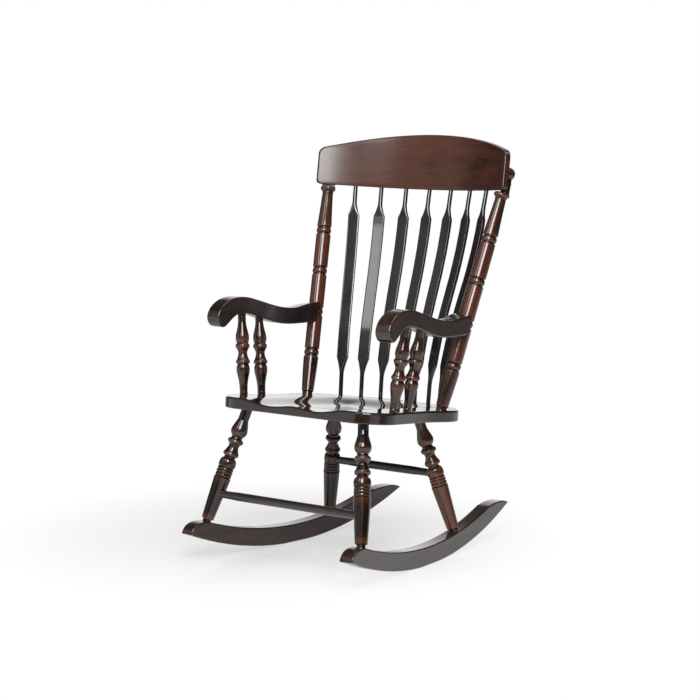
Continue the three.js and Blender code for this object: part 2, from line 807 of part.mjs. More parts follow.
function addCrest() {
  const slab = new THREE.BoxGeometry(2, 2, 2, crestColumns, 3, crestRows);
  const geometry = shapeForm(slab, (unit) => {
    const level = Math.round((unit.y + 1) * 1.5);
    const inset = [crest.round, 0, 0, crest.round][level];
    const halfThick = crest.thickness / 2;
    const out = [-halfThick, crest.round - halfThick, halfThick - crest.round, halfThick][level];
    const half = crestHalfWidth - inset;
    const x = half * Math.sin(unit.x * Math.PI / 2);
    const fromEnd = half - Math.abs(x);
    const bottom = crestBottomAt(x) + inset + cornerDrop(fromEnd, crest.cornerBottom);
    const top = crestTopAt(x) - inset - cornerDrop(fromEnd, crest.cornerTop);
    return crestPoint(x, lerp(bottom, top, (unit.z + 1) / 2), out);
  });
  const mesh = addPiece('crest_rail', geometry, 'plank');
  const slatSockets = Array.from({ length: slatCount }, (_, index) => {
    const axis = slatAxis(index);
    const depth = slat.crestTenon + clearance;
    return bore(axis, axis.length - cutRise, axis.length + depth, slat.neckRadius + clearance, slatSides);
  });
  carve(mesh, [...slatSockets, ...sides.map(({ sign }) => shankBore(crestScrewJoint(sign)))]);
}

// Pushes a circle's coordinate towards a square's, with its zero kept exact.
function squared(value, power) {
  return Math.abs(value) < roundOff ? 0 : Math.sign(value) * Math.abs(value) ** power;
}

function addSlat(index) {
  const axis = slatAxis(index);
  const stations = [
    [-slat.seatTenon, 0, 0],
    ...slatRowShares.map(([share, blade, bow]) => [share * axis.length, blade, bow * slat.bow]),
    [axis.length + slat.crestTenon, 0, 0],
  ];
  const unitForm = new THREE.CylinderGeometry(1, 1, 1, slatSides, stations.length - 1);
  const geometry = shapeForm(unitForm, (unit) => {
    const [height, blade, bow] = stations[Math.round((unit.y + 0.5) * (stations.length - 1))];
    const power = lerp(1, bladeCornerShare, blade);
    const across = squared(unit.x, power);
    const through = squared(unit.z, power);
    return new THREE.Vector3(
      across * lerp(slat.neckRadius, slat.bladeHalfWidth, blade),
      height,
      through * lerp(slat.neckRadius, slat.bladeHalfThickness, blade) - bow);
  });
  stand(addPiece(`slat_${index + 1}`, geometry, 'slat'), axis.foot, axis.direction, axis.side);
}

function addArm({ name, sign }) {
  const outline = [...armTopShares, ...armScrollShares, ...armUnderShares].map(
    ([out, up]) => new THREE.Vector2(-out * arm.length, up * arm.rise));
  // Towards the post the top cants, with its inner edge the higher.
  const geometry = shapeForm(plankOnEdge(outline, arm.width, arm.bevel), (point) => {
    const near = 1 - smoothstep(-point.y, 0, arm.length * armCantShare);
    const high = smoothstep(point.z, 0, arm.rise / 2);
    point.z -= near * high * arm.cant * sign * point.x / arm.width;
    return point;
  });
  const mesh = addPiece(`arm_${name}`, geometry, 'dark');
  mesh.position.copy(armFrame(sign).origin);
  mesh.rotation.z = sign * armSplay;
  const spindleSockets = ['front', 'rear'].map((end) => {
    const axis = spindleAxis(end, sign);
    const depth = spindle.neckRadius + arm.spindleTenon;
    const radius = spindle.neckRadius + clearance;
    return bore(axis, axis.length - cutRise, axis.length + depth, radius, turnedSides);
  });
  const saddle = bore(postAxis(sign), post.firstRing, post.shoulder, post.radius + clearance, turnedSides);
  carve(mesh, [...spindleSockets, saddle, shankBore(armScrewJoint(sign))]);
}

function addSpindle(end, { name, sign }) {
  const axis = spindleAxis(end, sign);
  const groove = spindle.neckRadius - spindle.footGroove;
  const points = [
    [-spindle.seatTenon, spindle.neckRadius],
    [spindle.footHeight - 2 * spindle.footGroove, spindle.neckRadius],
    [spindle.footHeight, groove],
    ...scaledShares(spindleTurningShares, spindle.footHeight, spindle.turningHeight, spindle.radius),
    [spindle.footHeight + spindle.turningHeight, spindle.neckRadius],
    [axis.length + arm.spindleTenon, spindle.neckRadius],
  ];
  stand(addPiece(`arm_spindle_${end}_${name}`, turned(points, turnedSides), 'turned'),
    axis.foot, axis.direction);
}

addSeat();
for (const side of sides) {
  addRocker(side);
  addPost(side);
  addArm(side);
  for (const end of ['front', 'rear']) {
    addLeg(end, side);
    addSpindle(end, side);
  }
}
addStretcher('front');
addStretcher('rear');
addCrest();
for (let index = 0; index < slatCount; index++) {
  addSlat(index);
}

export default chair;
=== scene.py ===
# The looks of the rocking chair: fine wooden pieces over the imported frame, in a pale studio.
# Sizes are in millimetres, as in the part, and turn into metres where a mesh is made.
# The sitter faces -Y, and +X is the sitter's left.

from bisect import bisect
from math import asin, atan2, copysign, cos, exp, hypot, pi, radians, sin, sqrt, tan
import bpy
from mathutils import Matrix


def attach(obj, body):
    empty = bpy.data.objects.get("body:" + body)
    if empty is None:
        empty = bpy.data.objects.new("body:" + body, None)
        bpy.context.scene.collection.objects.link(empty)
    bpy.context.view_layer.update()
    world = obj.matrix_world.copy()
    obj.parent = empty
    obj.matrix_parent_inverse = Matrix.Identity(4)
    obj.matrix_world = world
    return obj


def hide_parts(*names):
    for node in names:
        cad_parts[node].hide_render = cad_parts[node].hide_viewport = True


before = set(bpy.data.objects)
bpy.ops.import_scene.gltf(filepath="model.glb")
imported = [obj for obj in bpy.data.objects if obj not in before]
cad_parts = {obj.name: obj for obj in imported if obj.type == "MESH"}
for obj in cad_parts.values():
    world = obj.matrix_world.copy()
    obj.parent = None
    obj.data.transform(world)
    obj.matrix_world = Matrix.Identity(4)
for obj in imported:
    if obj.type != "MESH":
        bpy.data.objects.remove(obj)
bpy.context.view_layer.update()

from types import SimpleNamespace as Group

import bpy
from mathutils import Matrix, Vector

MM = 0.001

# How finely the pieces are cut
TURNED_SIDES = 56
SPAN_STEPS = 6
EDGE_STEPS = 5
SLAT_SIDES = 48
SMOOTH_ANGLE = radians(38)

# Flat stretches get a point this far from their ends, so that they are shaded as flat.
SUPPORT = 0.8
EDGE_SUPPORT = 0.3
LONG_SPAN = 3 * SUPPORT

# Where an outline turns by more than this, its edge's rounding fades to a share of itself. It is
# whole again at this many radii from the corner.
CORNER_TURN = radians(60)
CORNER_SHARE = 0.3
CORNER_REACH = 4
MITRE_LIMIT = 0.5

# A ring's relief is its height over the mean of its surroundings, as a share of this depth.
RELIEF_DEPTH = 1.6
RELIEF_SPACING = 0.75
RELIEF_OFFSETS = [step * RELIEF_SPACING for step in range(-10, 11)]

SIDES = {"left": 1, "right": -1}


# Sizes, as in the part

SEAT = Group(
    height=413.6, tilt=radians(5.71), thickness=31, front_y=-300,
    top_round=5, bottom_round=3,
    straight_front_half=196, front_half=274, front_half_y=-215,
    waist_half=257, waist_y=-48, rear_half=267, rear_half_y=60,
    corner_half=246, corner_y=114, end_half=206, back_margin=39,
    scoop_depth=19, scoop_front_depth=13, scoop_half=176,
    scoop_back_y=150, scoop_deep_y=40, pommel_half=46, pommel_back_y=-110,
)
SCOOP_FLAT_SHARE = 0.45
POMMEL_SHARE = 0.55
SEAT_COLUMNS = 88
SEAT_ROWS = 96
SIDE_STEPS = 96
SOLVER_PASSES = 12

ROCKER = Group(
    radius=1030, top_radius=1021, lowest=-18, front_tip=-416, back_tip=416,
    middle_x=230.2, height=50, thickness=40, round=3.4, floor_flat=96, tip_tuck=0.06,
    front_nose=64, front_nose_inset=6, front_nose_rise=6.5,
    back_nose=114, back_nose_inset=29, back_nose_rise=11,
)
ROCKER_TOE = radians(5.61)
ROCKER_STEPS = 40
NOSE_STEPS = 20

LEG_ENDS = {
    "front": Group(top_x=197.3, top_y=-246.5, foot=-343.7),
    "rear": Group(top_x=144.8, top_y=66.5, foot=134.6),
}
LEG = Group(
    radius=23.2, neck_radius=14.5, foot_radius=11.5, ankle_radius=16.6,
    ankle_height=9, ankle_step=2, turning_height=166, top_neck=32,
    seat_tenon=20, rocker_tenon=22,
)
LEG_TURNING_SHARES = [
    (0, 1), (0.012, 0.87), (0.026, 0.955), (0.042, 0.97), (0.058, 0.955), (0.069, 0.86),
    (0.08, 0.955), (0.096, 0.972), (0.112, 0.955), (0.123, 0.86), (0.134, 0.94), (0.148, 0.955),
    (0.162, 0.93), (0.172, 0.86), (0.19, 0.974),
    (0.229, 1), (0.271, 0.974), (0.307, 0.888), (0.335, 0.66), (0.355, 0.668), (0.377, 0.875),
    (0.404, 0.94), (0.428, 0.888), (0.452, 0.776), (0.482, 0.698), (0.527, 0.603), (0.566, 0.655),
    (0.593, 0.841), (0.62, 0.94), (0.648, 0.879), (0.672, 0.664), (0.693, 0.629), (0.72, 0.75),
    (0.753, 0.914), (0.795, 0.978), (0.837, 0.944), (0.892, 0.836), (0.946, 0.724),
]
LEG_CREASE_SHARES = (0, 0.012, 0.069, 0.123, 0.172, 0.335, 0.693)

STRETCHER = Group(radius=11.6, end_radius=10.5, end_taper=20, tenon=13)
STRETCHER_HEIGHTS = {"front": 179, "rear": 221}

POST = Group(
    foot_x=231.7, foot_y=51.4, radius=20.8, neck_radius=14, neck_height=6,
    ankle_radius=16.6, ankle_step=3, swell_height=101, first_ring=120,
    ring_spacing=119, ring_half=12.5, groove_offset=9.2, groove_depth=3.6,
    bead_half=8.2, lip_length=1.2, lip_depth=0.8, ring_gap=1,
    taper_radius=17.4, waist_radius=15.2, waist_height=590,
    shoulder=602, shoulder_half=6, shoulder_radius=21.6, shoulder_root=2,
    lap_radius=19.4, lap_top_radius=15, lap_height=41, lap_gap=0.5, lap_cut_gap=0.4,
    finial_radius=20, finial_height=30, seat_tenon=24,
)
POST_RECLINE = radians(17.65)
POST_SPLAY = radians(6.78)
SWELL_SHARES = (0.5, 0.62)
TAPER_SHARE = 0.6
RING_COUNT = 4
FINIAL_SHARES = [(0.13, 0.9), (0.33, 1), (0.57, 0.99), (0.78, 0.85), (0.93, 0.58), (1, 0.3)]

CREST = Group(
    overhang=25, thickness=18, bow_radius=540, middle_height=154,
    top_radius=1380, bottom_rise=11, corner_top=15, corner_bottom=11, round=4,
    tuck=0.8, top_tuck=0.02,
)
CREST_LEAN = radians(8.3)
CREST_COLUMNS = 120
CREST_ROWS = 14
CURVE_GAP = 0.6

SLAT = Group(
    seat_arc_radius=354, seat_arc_back_y=171, seat_pitch=59.6, crest_pitch=77.8,
    neck_radius=6, blade_half_width=16, blade_half_thickness=5,
    seat_tenon=20, crest_tenon=18, bow=12,
)
SLAT_COUNT = 7
SLAT_ROW_SHARES = [
    (0, 0, 0), (0.05, 0, -0.38), (0.1, 0, -0.72), (0.148, 0.5, -0.86), (0.178, 1, -0.92),
    (0.24, 1, -0.99), (0.3, 1, -0.98), (0.36, 1, -0.84), (0.42, 1, -0.6), (0.48, 1, -0.36),
    (0.54, 1, -0.1), (0.6, 1, 0.17), (0.67, 1, 0.36), (0.74, 1, 0.47), (0.8, 1, 0.46),
    (0.862, 1, 0.34), (0.892, 0.4, 0.25), (0.923, 0.04, 0.17), (1, 0, 0),
]
SLAT_CREASE_SHARES = (0.178, 0.862)
SLAT_ROWS = 120
BLADE_CORNER_SHARE = 0.2
TINY = 1e-6

ARM = Group(
    width=45, length=411, height_above_seat=200.7, rise=92, round=4,
    cant=7, post_height=244, spindle_tenon=16,
)
ARM_SPLAY = radians(3.84)
ARM_CANT_SHARE = 0.35
ARM_TOP_SHARES = [
    (0.012, 0.57), (0.085, 0.575), (0.129, 0.56), (0.18, 0.533), (0.229, 0.508), (0.294, 0.514),
    (0.367, 0.554), (0.44, 0.625), (0.513, 0.717), (0.584, 0.815), (0.65, 0.903), (0.708, 0.97),
    (0.762, 1), (0.822, 1), (0.883, 0.952), (0.927, 0.873), (0.965, 0.752), (0.986, 0.64),
]
ARM_SCROLL_SHARES = [
    (0.999, 0.51), (1, 0.42), (0.993, 0.315), (0.976, 0.217), (0.951, 0.165), (0.927, 0.187),
]
ARM_UNDER_SHARES = [
    (0.896, 0.28), (0.857, 0.4), (0.82, 0.48), (0.781, 0.52), (0.737, 0.5), (0.684, 0.451),
    (0.647, 0.402), (0.586, 0.315), (0.518, 0.217), (0.453, 0.13), (0.38, 0.06), (0.302, 0.022),
    (0.214, 0.008), (0.146, 0.003), (0.092, 0), (0.052, 0.02),
]

SPINDLE_ENDS = {
    "front": Group(foot_x=255, foot_y=-195, reach=299),
    "rear": Group(foot_x=249, foot_y=-127, reach=231),
}
SPINDLE = Group(
    radius=19.4, neck_radius=10.9, foot_height=10, foot_groove=0.9,
    turning_height=190, seat_tenon=18,
)
SPINDLE_TURNING_SHARES = [
    (0.01, 0.557), (0.074, 0.577), (0.137, 0.644), (0.2, 0.753), (0.263, 0.887), (0.305, 0.938),
    (0.337, 0.933), (0.368, 0.85), (0.389, 0.773), (0.403, 0.948), (0.426, 1), (0.447, 0.928),
    (0.463, 0.825), (0.5, 0.7), (0.542, 0.629), (0.574, 0.67), (0.605, 0.804), (0.632, 0.959),
    (0.653, 1), (0.674, 0.943), (0.689, 0.814), (0.711, 0.866), (0.753, 0.948), (0.795, 0.938),
    (0.842, 0.85), (0.895, 0.72), (0.947, 0.62),
]
SPINDLE_CREASE_SHARES = (0.389, 0.463, 0.605, 0.689)

# How much more of the warm colour each piece shows than its neighbours
TONES = {
    "leg_rear_left": 0.45, "back_post_left": 0.04, "back_post_right": 0.04, "leg_front_left": -0.12,
    "leg_front_right": -0.12, "arm_right": -0.1, "slat_1": -0.2, "slat_7": -0.2,
}
# The crest is warmest at this X and goes from the first tone to the second over these distances.
CREST_TONE_X = -70
CREST_TONE_SPAN = (90, 300)
CREST_TONE_RANGE = (0.16, -0.06)


# Curves and meshes

def lerp(a, b, share):
    return a + (b - a) * share


def smoothstep(value, low, high):
    share = min(1, max(0, (value - low) / (high - low)))
    return share * share * (3 - 2 * share)


def hermite(t, start, end, out, into):
    """The cubic between two values with the slopes at its ends."""
    return (start * (1 + 2 * t) * (1 - t) ** 2 + out * t * (1 - t) ** 2
            + end * t * t * (3 - 2 * t) + into * t * t * (t - 1))


def flow(places, values):
    """A curve through the values that never overshoots them, as a function of the place."""
    spans = [high - low for low, high in zip(places, places[1:])]
    steps = [(high - low) / span for low, high, span in zip(values, values[1:], spans)]
    slopes = [steps[0]]
    for before, after in zip(steps, steps[1:]):
        slopes.append(0 if before * after <= 0 else 2 * before * after / (before + after))
    slopes.append(steps[-1])

    def at(place):
        i = min(max(bisect(places, place) - 1, 0), len(steps) - 1)
        out, into = spans[i] * slopes[i], spans[i] * slopes[i + 1]
        return hermite((place - places[i]) / spans[i], values[i], values[i + 1], out, into)

    return at


def runs(points, creases):
    """Splits a row of points at its creases. Each run keeps both its ends."""
    made = [[points[0]]]
    for point in points[1:]:
        made[-1].append(point)
        if point[0] in creases:
            made.append([point])
    return [run for run in made if len(run) > 1]


def smooth_profile(points, creases=()):
    """Fine (height, radius) points through rough ones, sharp only at the creases."""
    fine = [points[0]]
    for run in runs(points, creases):
        heights = [height for height, _ in run]
        curve = flow(heights, [radius for _, radius in run])
        for low, high in zip(heights, heights[1:]):
            for step in range(1, SPAN_STEPS + 1):
                height = lerp(low, high, step / SPAN_STEPS)
                fine.append((height, curve(height)))
    return fine


def scaled(table, base, height, radius):
    return [(base + up * height, out * radius) for up, out in table]


def arc_levels(radius):
    """(inset, drop) pairs of a quarter round, from the face to the wall and a little down it."""
    angles = [pi / 2 * step / EDGE_STEPS for step in range(EDGE_STEPS + 1)]
    levels = [(radius * (1 - sin(a)), radius * (1 - cos(a))) for a in angles]
    return [*levels, (0, radius + SUPPORT)]


def bead_points(middle, half, root, radius):
    """(height, radius) points of a half-round bead that stands on a root radius."""
    angles = [pi / 2 * step / EDGE_STEPS for step in range(-EDGE_STEPS, EDGE_STEPS + 1)]
    return [(middle + half * sin(a), root + (radius - root) * cos(a)) for a in angles]


def closed_spline(points, sharp):
    """A closed curve through the points, straight between two that are sharp."""
    count = len(points)
    fine = []
    for i in range(count):
        a, b, c, d = (Vector(points[(i + k) % count]) for k in (-1, 0, 1, 2))
        if i in sharp and (i + 1) % count in sharp:
            fine.append(b)
            continue
        out = (c - b) / 2 if i in sharp else (c - a) / 2
        into = (c - b) / 2 if (i + 1) % count in sharp else (d - b) / 2
        fine += [hermite(step / SPAN_STEPS, b, c, out, into) for step in range(SPAN_STEPS)]
    return fine


def spline_points(points, steps):
    """Points along three.js's SplineCurve through the given ones."""
    made = []
    last = len(points) - 1
    for step in range(steps + 1):
        place = last * step / steps
        i = min(int(place), last)
        t = place - i
        near = [points[min(max(i + k, 0), last)] for k in (-1, 0, 1, 2)]
        made.append(tuple(hermite(t, b, c, (c - a) / 2, (d - b) / 2) for a, b, c, d in zip(*near)))
    return made


def standing(axis):
    """The placement whose Z runs along an axis from its foot and whose X lies nearest its side."""
    across = (axis.side - axis.direction * axis.side.dot(axis.direction)).normalized()
    turn = Matrix((across, axis.direction.cross(across), axis.direction)).transposed()
    return Matrix.Translation(axis.foot) @ turn.to_4x4()


def supported(profile):
    """The profile with a point close to each end of its long spans, so that these look straight."""
    made = [profile[0]]
    for (low, near), (high, far) in zip(profile, profile[1:]):
        span = hypot(high - low, far - near)
        if span > LONG_SPAN:
            share = SUPPORT / span
            made.append((lerp(low, high, share), lerp(near, far, share)))
            made.append((lerp(high, low, share), lerp(far, near, share)))
        made.append((high, far))
    return made


def wall(low, high):
    """The faces between two closed loops of points."""
    count = len(low)
    return [(low[i], low[(i + 1) % count], high[(i + 1) % count], high[i]) for i in range(count)]


def stacked_walls(start, count, levels):
    """The faces between loops of the same count that follow each other from a start."""
    loops = [range(start + level * count, start + (level + 1) * count) for level in range(levels)]
    return [face for low, high in zip(loops, loops[1:]) for face in wall(low, high)]


def lathe(profile, count=TURNED_SIDES):
    """A turned solid about Z from (height, radius) points, closed at both ends."""
    points = [(0, 0, profile[0][0])]
    for height, radius in profile:
        for side in range(count):
            angle = 2 * pi * side / count
            points.append((radius * cos(angle), radius * sin(angle), height))
    points.append((0, 0, profile[-1][0]))
    faces = [(0, 1 + (side + 1) % count, 1 + side) for side in range(count)]
    faces += stacked_walls(1, count, len(profile))
    last = 1 + (len(profile) - 1) * count
    faces += [(last + side, last + (side + 1) % count, len(points) - 1) for side in range(count)]
    return points, faces


def slab(columns, rows, levels, place):
    """A closed slab: a grid on its first and last levels, and a wall round its edge through all."""
    rim = [(i, 0) for i in range(columns)] + [(columns, j) for j in range(rows)]
    rim += [(columns - i, rows) for i in range(columns)] + [(0, rows - j) for j in range(rows)]
    points, faces, loops = [], [], []
    for level in range(levels):
        if level in (0, levels - 1):
            start = len(points)
            points += [place(2 * i / columns - 1, 2 * j / rows - 1, level)
                       for j in range(rows + 1) for i in range(columns + 1)]
            loops.append([start + j * (columns + 1) + i for i, j in rim])
            for j in range(rows):
                for i in range(columns):
                    corner = start + j * (columns + 1) + i
                    quad = (corner, corner + 1, corner + columns + 2, corner + columns + 1)
                    faces.append(quad if level else quad[::-1])
        else:
            loops.append(list(range(len(points), len(points) + len(rim))))
            points += [place(2 * i / columns - 1, 2 * j / rows - 1, level) for i, j in rim]
    faces += [face for low, high in zip(loops, loops[1:]) for face in wall(low, high)]
    return points, faces


def inward(outline):
    """The mitred inward direction at each point of a closed outline that runs anticlockwise."""
    normals = []
    for i, point in enumerate(outline):
        before = (point - outline[i - 1]).normalized()
        after = (outline[(i + 1) % len(outline)] - point).normalized()
        middle = (before + after).normalized()
        square = Vector((-middle.y, middle.x))
        normals.append(square / max(MITRE_LIMIT, square.dot(Vector((-before.y, before.x)))))
    return normals


def plank_on_edge(outline, width, radius):
    """A side outline in (Y, Z), wide along X, with edges rounded, less so near a sharp corner."""
    normals = inward(outline)
    count = len(outline)
    corners = [point for i, point in enumerate(outline)
               if (point - outline[i - 1]).angle(outline[(i + 1) % count] - point) > CORNER_TURN]
    if corners:
        reach = [min((point - corner).length for corner in corners) for point in outline]
        normals = [normal * min(1, max(CORNER_SHARE, away / (CORNER_REACH * radius)))
                   for normal, away in zip(normals, reach)]
    rise = [(radius, -width / 2)]
    rise += [(inset, drop - width / 2) for inset, drop in arc_levels(radius - EDGE_SUPPORT)]
    levels = rise + [(inset, -x) for inset, x in reversed(rise)]
    points = []
    for inset, x in levels:
        points += [(x, p.x + n.x * inset, p.y + n.y * inset) for p, n in zip(outline, normals)]
    faces = [tuple(range(count))[::-1], tuple(range(len(points) - count, len(points)))]
    return points, faces + stacked_walls(0, count, len(levels))


def relief(profile):
    """How far each ring of a turned profile stands out of its surroundings, from -1 to 1."""
    heights = [height for height, _ in profile]
    radii = [radius for _, radius in profile]

    def radius_at(height):
        after = min(max(bisect(heights, height), 1), len(heights) - 1)
        span = heights[after] - heights[after - 1]
        share = min(1, max(0, (height - heights[after - 1]) / span)) if span else 1
        return lerp(radii[after - 1], radii[after], share)

    made = []
    for height, radius in profile:
        around = [radius_at(height + offset) for offset in RELIEF_OFFSETS]
        made.append(min(1, max(-1, (radius - sum(around) / len(around)) / RELIEF_DEPTH)))
    return made


def over_rings(values):
    """One value for each point of a lathe's solid from one for each ring."""
    return [values[0]] + [value for value in values for _ in range(TURNED_SIDES)] + [values[-1]]


def add_turning(node_name, profile, material, axis, cut=None):
    """A turned piece over a node of the part. A cut moves its points onto a flat."""
    profile = supported(profile)
    points, faces = lathe(profile)
    if cut:
        points = [cut(Vector(point)) for point in points]
    add_piece(f"{node_name}_turning", (points, faces), material, [node_name],
              standing(axis), relief=over_rings(relief(profile)))


def add_object(name, data):
    made = bpy.data.objects.new(name, data)
    bpy.context.scene.collection.objects.link(made)
    return made


def add_piece(name, shape, material, nodes, placement=Matrix.Identity(4), grain=None,
              relief=None, tone=None):
    """A piece of the object. Its points keep the grain's run, relief and tone as attributes."""
    points, faces = shape
    local = [Vector(point) for point in points]
    mesh = bpy.data.meshes.new(name)
    mesh.from_pydata([(placement @ point) * MM for point in local], [], faces)
    mesh.validate()
    mesh.polygons.foreach_set("use_smooth", [True] * len(mesh.polygons))
    mesh.set_sharp_from_angle(angle=SMOOTH_ANGLE)
    for label, kind, key, values in (
        ("grain", "FLOAT_VECTOR", "vector", [part * MM for run in grain or local for part in run]),
        ("relief", "FLOAT", "value", relief or [0.0] * len(local)),
        ("tone", "FLOAT", "value", tone or [TONES.get(nodes[0], 0.0)] * len(local)),
    ):
        mesh.attributes.new(label, kind, "POINT").data.foreach_set(key, values)
    mesh.materials.append(material)
    piece = add_object(name, mesh)
    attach(piece, "root")
    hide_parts(*nodes)


# Places that the pieces share

def seat_top_at(y):
    return SEAT.height - tan(SEAT.tilt) * y


def seat_bottom_at(y):
    return seat_top_at(y) - SEAT.thickness / cos(SEAT.tilt)


SEAT_ARC_CENTRE_Y = SLAT.seat_arc_back_y - SLAT.seat_arc_radius


def seat_back_at(x):
    return SEAT_ARC_CENTRE_Y + sqrt((SLAT.seat_arc_radius + SEAT.back_margin) ** 2 - x ** 2)


def rocker_bottom_at(distance):
    flat_half = ROCKER.floor_flat / 2
    away = max(abs(distance - ROCKER.lowest), flat_half)
    return sqrt(ROCKER.radius ** 2 - flat_half ** 2) - sqrt(ROCKER.radius ** 2 - away ** 2)


def rocker_top_at(distance):
    radius = ROCKER.top_radius
    return ROCKER.height + radius - sqrt(radius ** 2 - (distance - ROCKER.lowest) ** 2)


def rocker_point(sign, distance, z):
    x = ROCKER.middle_x - sin(ROCKER_TOE) * distance
    return Vector((sign * x, cos(ROCKER_TOE) * distance, z))


def axis_between(foot, top, side=Vector((1, 0, 0))):
    span = top - foot
    return Group(foot=foot, length=span.length, direction=span.normalized(), side=side)


def along(axis, distance):
    return axis.foot + axis.direction * distance


def leg_axis(end, sign):
    at = LEG_ENDS[end]
    foot = rocker_point(sign, at.foot, rocker_top_at(at.foot))
    return axis_between(foot, Vector((sign * at.top_x, at.top_y, seat_bottom_at(at.top_y))))


def post_axis(sign):
    foot = Vector((sign * POST.foot_x, POST.foot_y, seat_top_at(POST.foot_y)))
    slope = Vector((sign * tan(POST_SPLAY), tan(POST_RECLINE), 1))
    return Group(foot=foot, direction=slope.normalized(), side=Vector((1, 0, 0)))


LAP_BASE = POST.shoulder + POST.shoulder_half
LEFT_POST = post_axis(1)
CREST_END_Z = (along(LEFT_POST, LAP_BASE).z
               + POST.shoulder_radius * hypot(*LEFT_POST.direction.xy) + CURVE_GAP)
LAP_POINT = along(LEFT_POST, (CREST_END_Z - LEFT_POST.foot.z) / LEFT_POST.direction.z)
BACK_RADIUS = CREST.bow_radius + CREST.thickness / 2
BOW_CENTRE_Y = LAP_POINT.y - sqrt(BACK_RADIUS ** 2 - LAP_POINT.x ** 2)
CREST_MIDDLE_Z = CREST_END_Z - CREST.bottom_rise
CREST_HALF_WIDTH = LAP_POINT.x + CREST.overhang - CREST.tuck


def crest_bottom_at(x):
    return CREST_MIDDLE_Z + CREST.bottom_rise * (x / LAP_POINT.x) ** 2


def crest_top_at(x):
    drop = CREST.top_radius - sqrt(CREST.top_radius ** 2 - x ** 2)
    return CREST_MIDDLE_Z + CREST.middle_height - drop


def crest_point(bow_x, z, out):
    angle = asin(bow_x / CREST.bow_radius)
    radius = CREST.bow_radius + out
    back = tan(CREST_LEAN) * (z - CREST_END_Z)
    return Vector((radius * sin(angle), BOW_CENTRE_Y + radius * cos(angle) + back, z))


def lap_plane(sign):
    """A point on the crest's back face where a post meets it, and the way straight back there."""
    angle = atan2(LAP_POINT.x, LAP_POINT.y - BOW_CENTRE_Y)
    steep = tan(CREST_LEAN) * cos(angle)
    back = Vector((sign * sin(angle), cos(angle), -steep)).normalized()
    return Vector((sign * LAP_POINT.x, LAP_POINT.y, LAP_POINT.z)) + back * CURVE_GAP, back


def slat_axis(index):
    place = index - (SLAT_COUNT - 1) / 2
    seat_angle = place * SLAT.seat_pitch / SLAT.seat_arc_radius
    foot_y = SLAT.seat_arc_back_y - SLAT.seat_arc_radius * (1 - cos(seat_angle))
    foot = Vector((SLAT.seat_arc_radius * sin(seat_angle), foot_y, seat_top_at(foot_y)))
    crest_angle = place * SLAT.crest_pitch / CREST.bow_radius
    crest_x = CREST.bow_radius * sin(crest_angle)
    angle = (seat_angle + crest_angle) / 2
    side = Vector((cos(angle), -sin(angle), 0))
    return axis_between(foot, crest_point(crest_x, crest_bottom_at(crest_x), 0), side)


ARM_BASE_Z = seat_top_at(POST.foot_y) + ARM.height_above_seat


def arm_frame(sign):
    origin = along(post_axis(sign), ARM.post_height)
    origin.z = ARM_BASE_Z
    return origin, Vector((sign * sin(ARM_SPLAY), -cos(ARM_SPLAY), 0))


def arm_under_at(reach):
    share = reach / ARM.length
    after = next(i for i, (out, _) in enumerate(ARM_UNDER_SHARES) if out < share)
    (near_out, near_up), (far_out, far_up) = ARM_UNDER_SHARES[after], ARM_UNDER_SHARES[after - 1]
    return ARM_BASE_Z + ARM.rise * lerp(near_up, far_up, (share - near_out) / (far_out - near_out))


def spindle_axis(end, sign):
    at = SPINDLE_ENDS[end]
    origin, forward = arm_frame(sign)
    top = origin + forward * at.reach
    top.z = arm_under_at(at.reach)
    return axis_between(Vector((sign * at.foot_x, at.foot_y, seat_top_at(at.foot_y))), top)


def stretcher_axis(end):
    axis = leg_axis(end, 1)
    point = along(axis, (STRETCHER_HEIGHTS[end] - axis.foot.z) / axis.direction.z)
    half = point.x - LEG.radius + STRETCHER.tenon
    foot = Vector((-half, point.y, point.z))
    return axis_between(foot, Vector((half, point.y, point.z)), Vector((0, 1, 0)))


# Materials

def feed(tree, made, inputs):
    """Links a node's inputs to sockets, or sets their values."""
    for name, value in inputs.items():
        if isinstance(value, bpy.types.NodeSocket):
            tree.links.new(value, made.inputs[name])
        else:
            made.inputs[name].default_value = value


def node(tree, kind, inputs=None, **settings):
    made = tree.nodes.new("ShaderNode" + kind)
    for key, value in settings.items():
        setattr(made, key, value)
    feed(tree, made, inputs or {})
    return made


def noise(tree, vector, scale, detail, roughness=0.5, distortion=0.0):
    return node(tree, "TexNoise", {
        "Vector": vector, "Scale": scale, "Detail": detail,
        "Roughness": roughness, "Distortion": distortion,
    }).outputs["Fac"]


def pattern(tree, vector, draw, *settings):
    """Noise that is drawn out by a scale along each axis."""
    drawn = node(tree, "Mapping", {"Vector": vector, "Scale": draw})
    return noise(tree, drawn.outputs["Vector"], *settings)


def ramp(tree, value, stops):
    made = node(tree, "ValToRGB", {"Fac": value})
    elements = made.color_ramp.elements
    while len(elements) < len(stops):
        elements.new(0.5)
    for element, (place, colour) in zip(elements, stops):
        element.position = place
        element.color = (*colour, 1)
    return made.outputs["Color"]


def ranged(tree, value, low, high, to_low, to_high):
    return node(tree, "MapRange", {
        "Value": value, "From Min": low, "From Max": high, "To Min": to_low, "To Max": to_high,
    }).outputs["Result"]


def maths(tree, operation, first, second):
    return node(tree, "Math", {0: first, 1: second}, operation=operation).outputs[0]


def measured(tree, operation, vector, other=(0, 0, 0)):
    """The length of a vector, its distance from another one or its product with it."""
    return node(tree, "VectorMath", {0: vector, 1: other}, operation=operation).outputs["Value"]


def mixed(tree, share, under, colour):
    """The colour under this one, covered by a share of it."""
    made = node(tree, "Mix", data_type="RGBA")
    sockets = {socket.name: socket for socket in made.inputs if socket.enabled}
    tree.links.new(share, sockets["Factor"])
    tree.links.new(under, sockets["A"])
    sockets["B"].default_value = (*colour, 1)
    return next(socket for socket in made.outputs if socket.enabled)


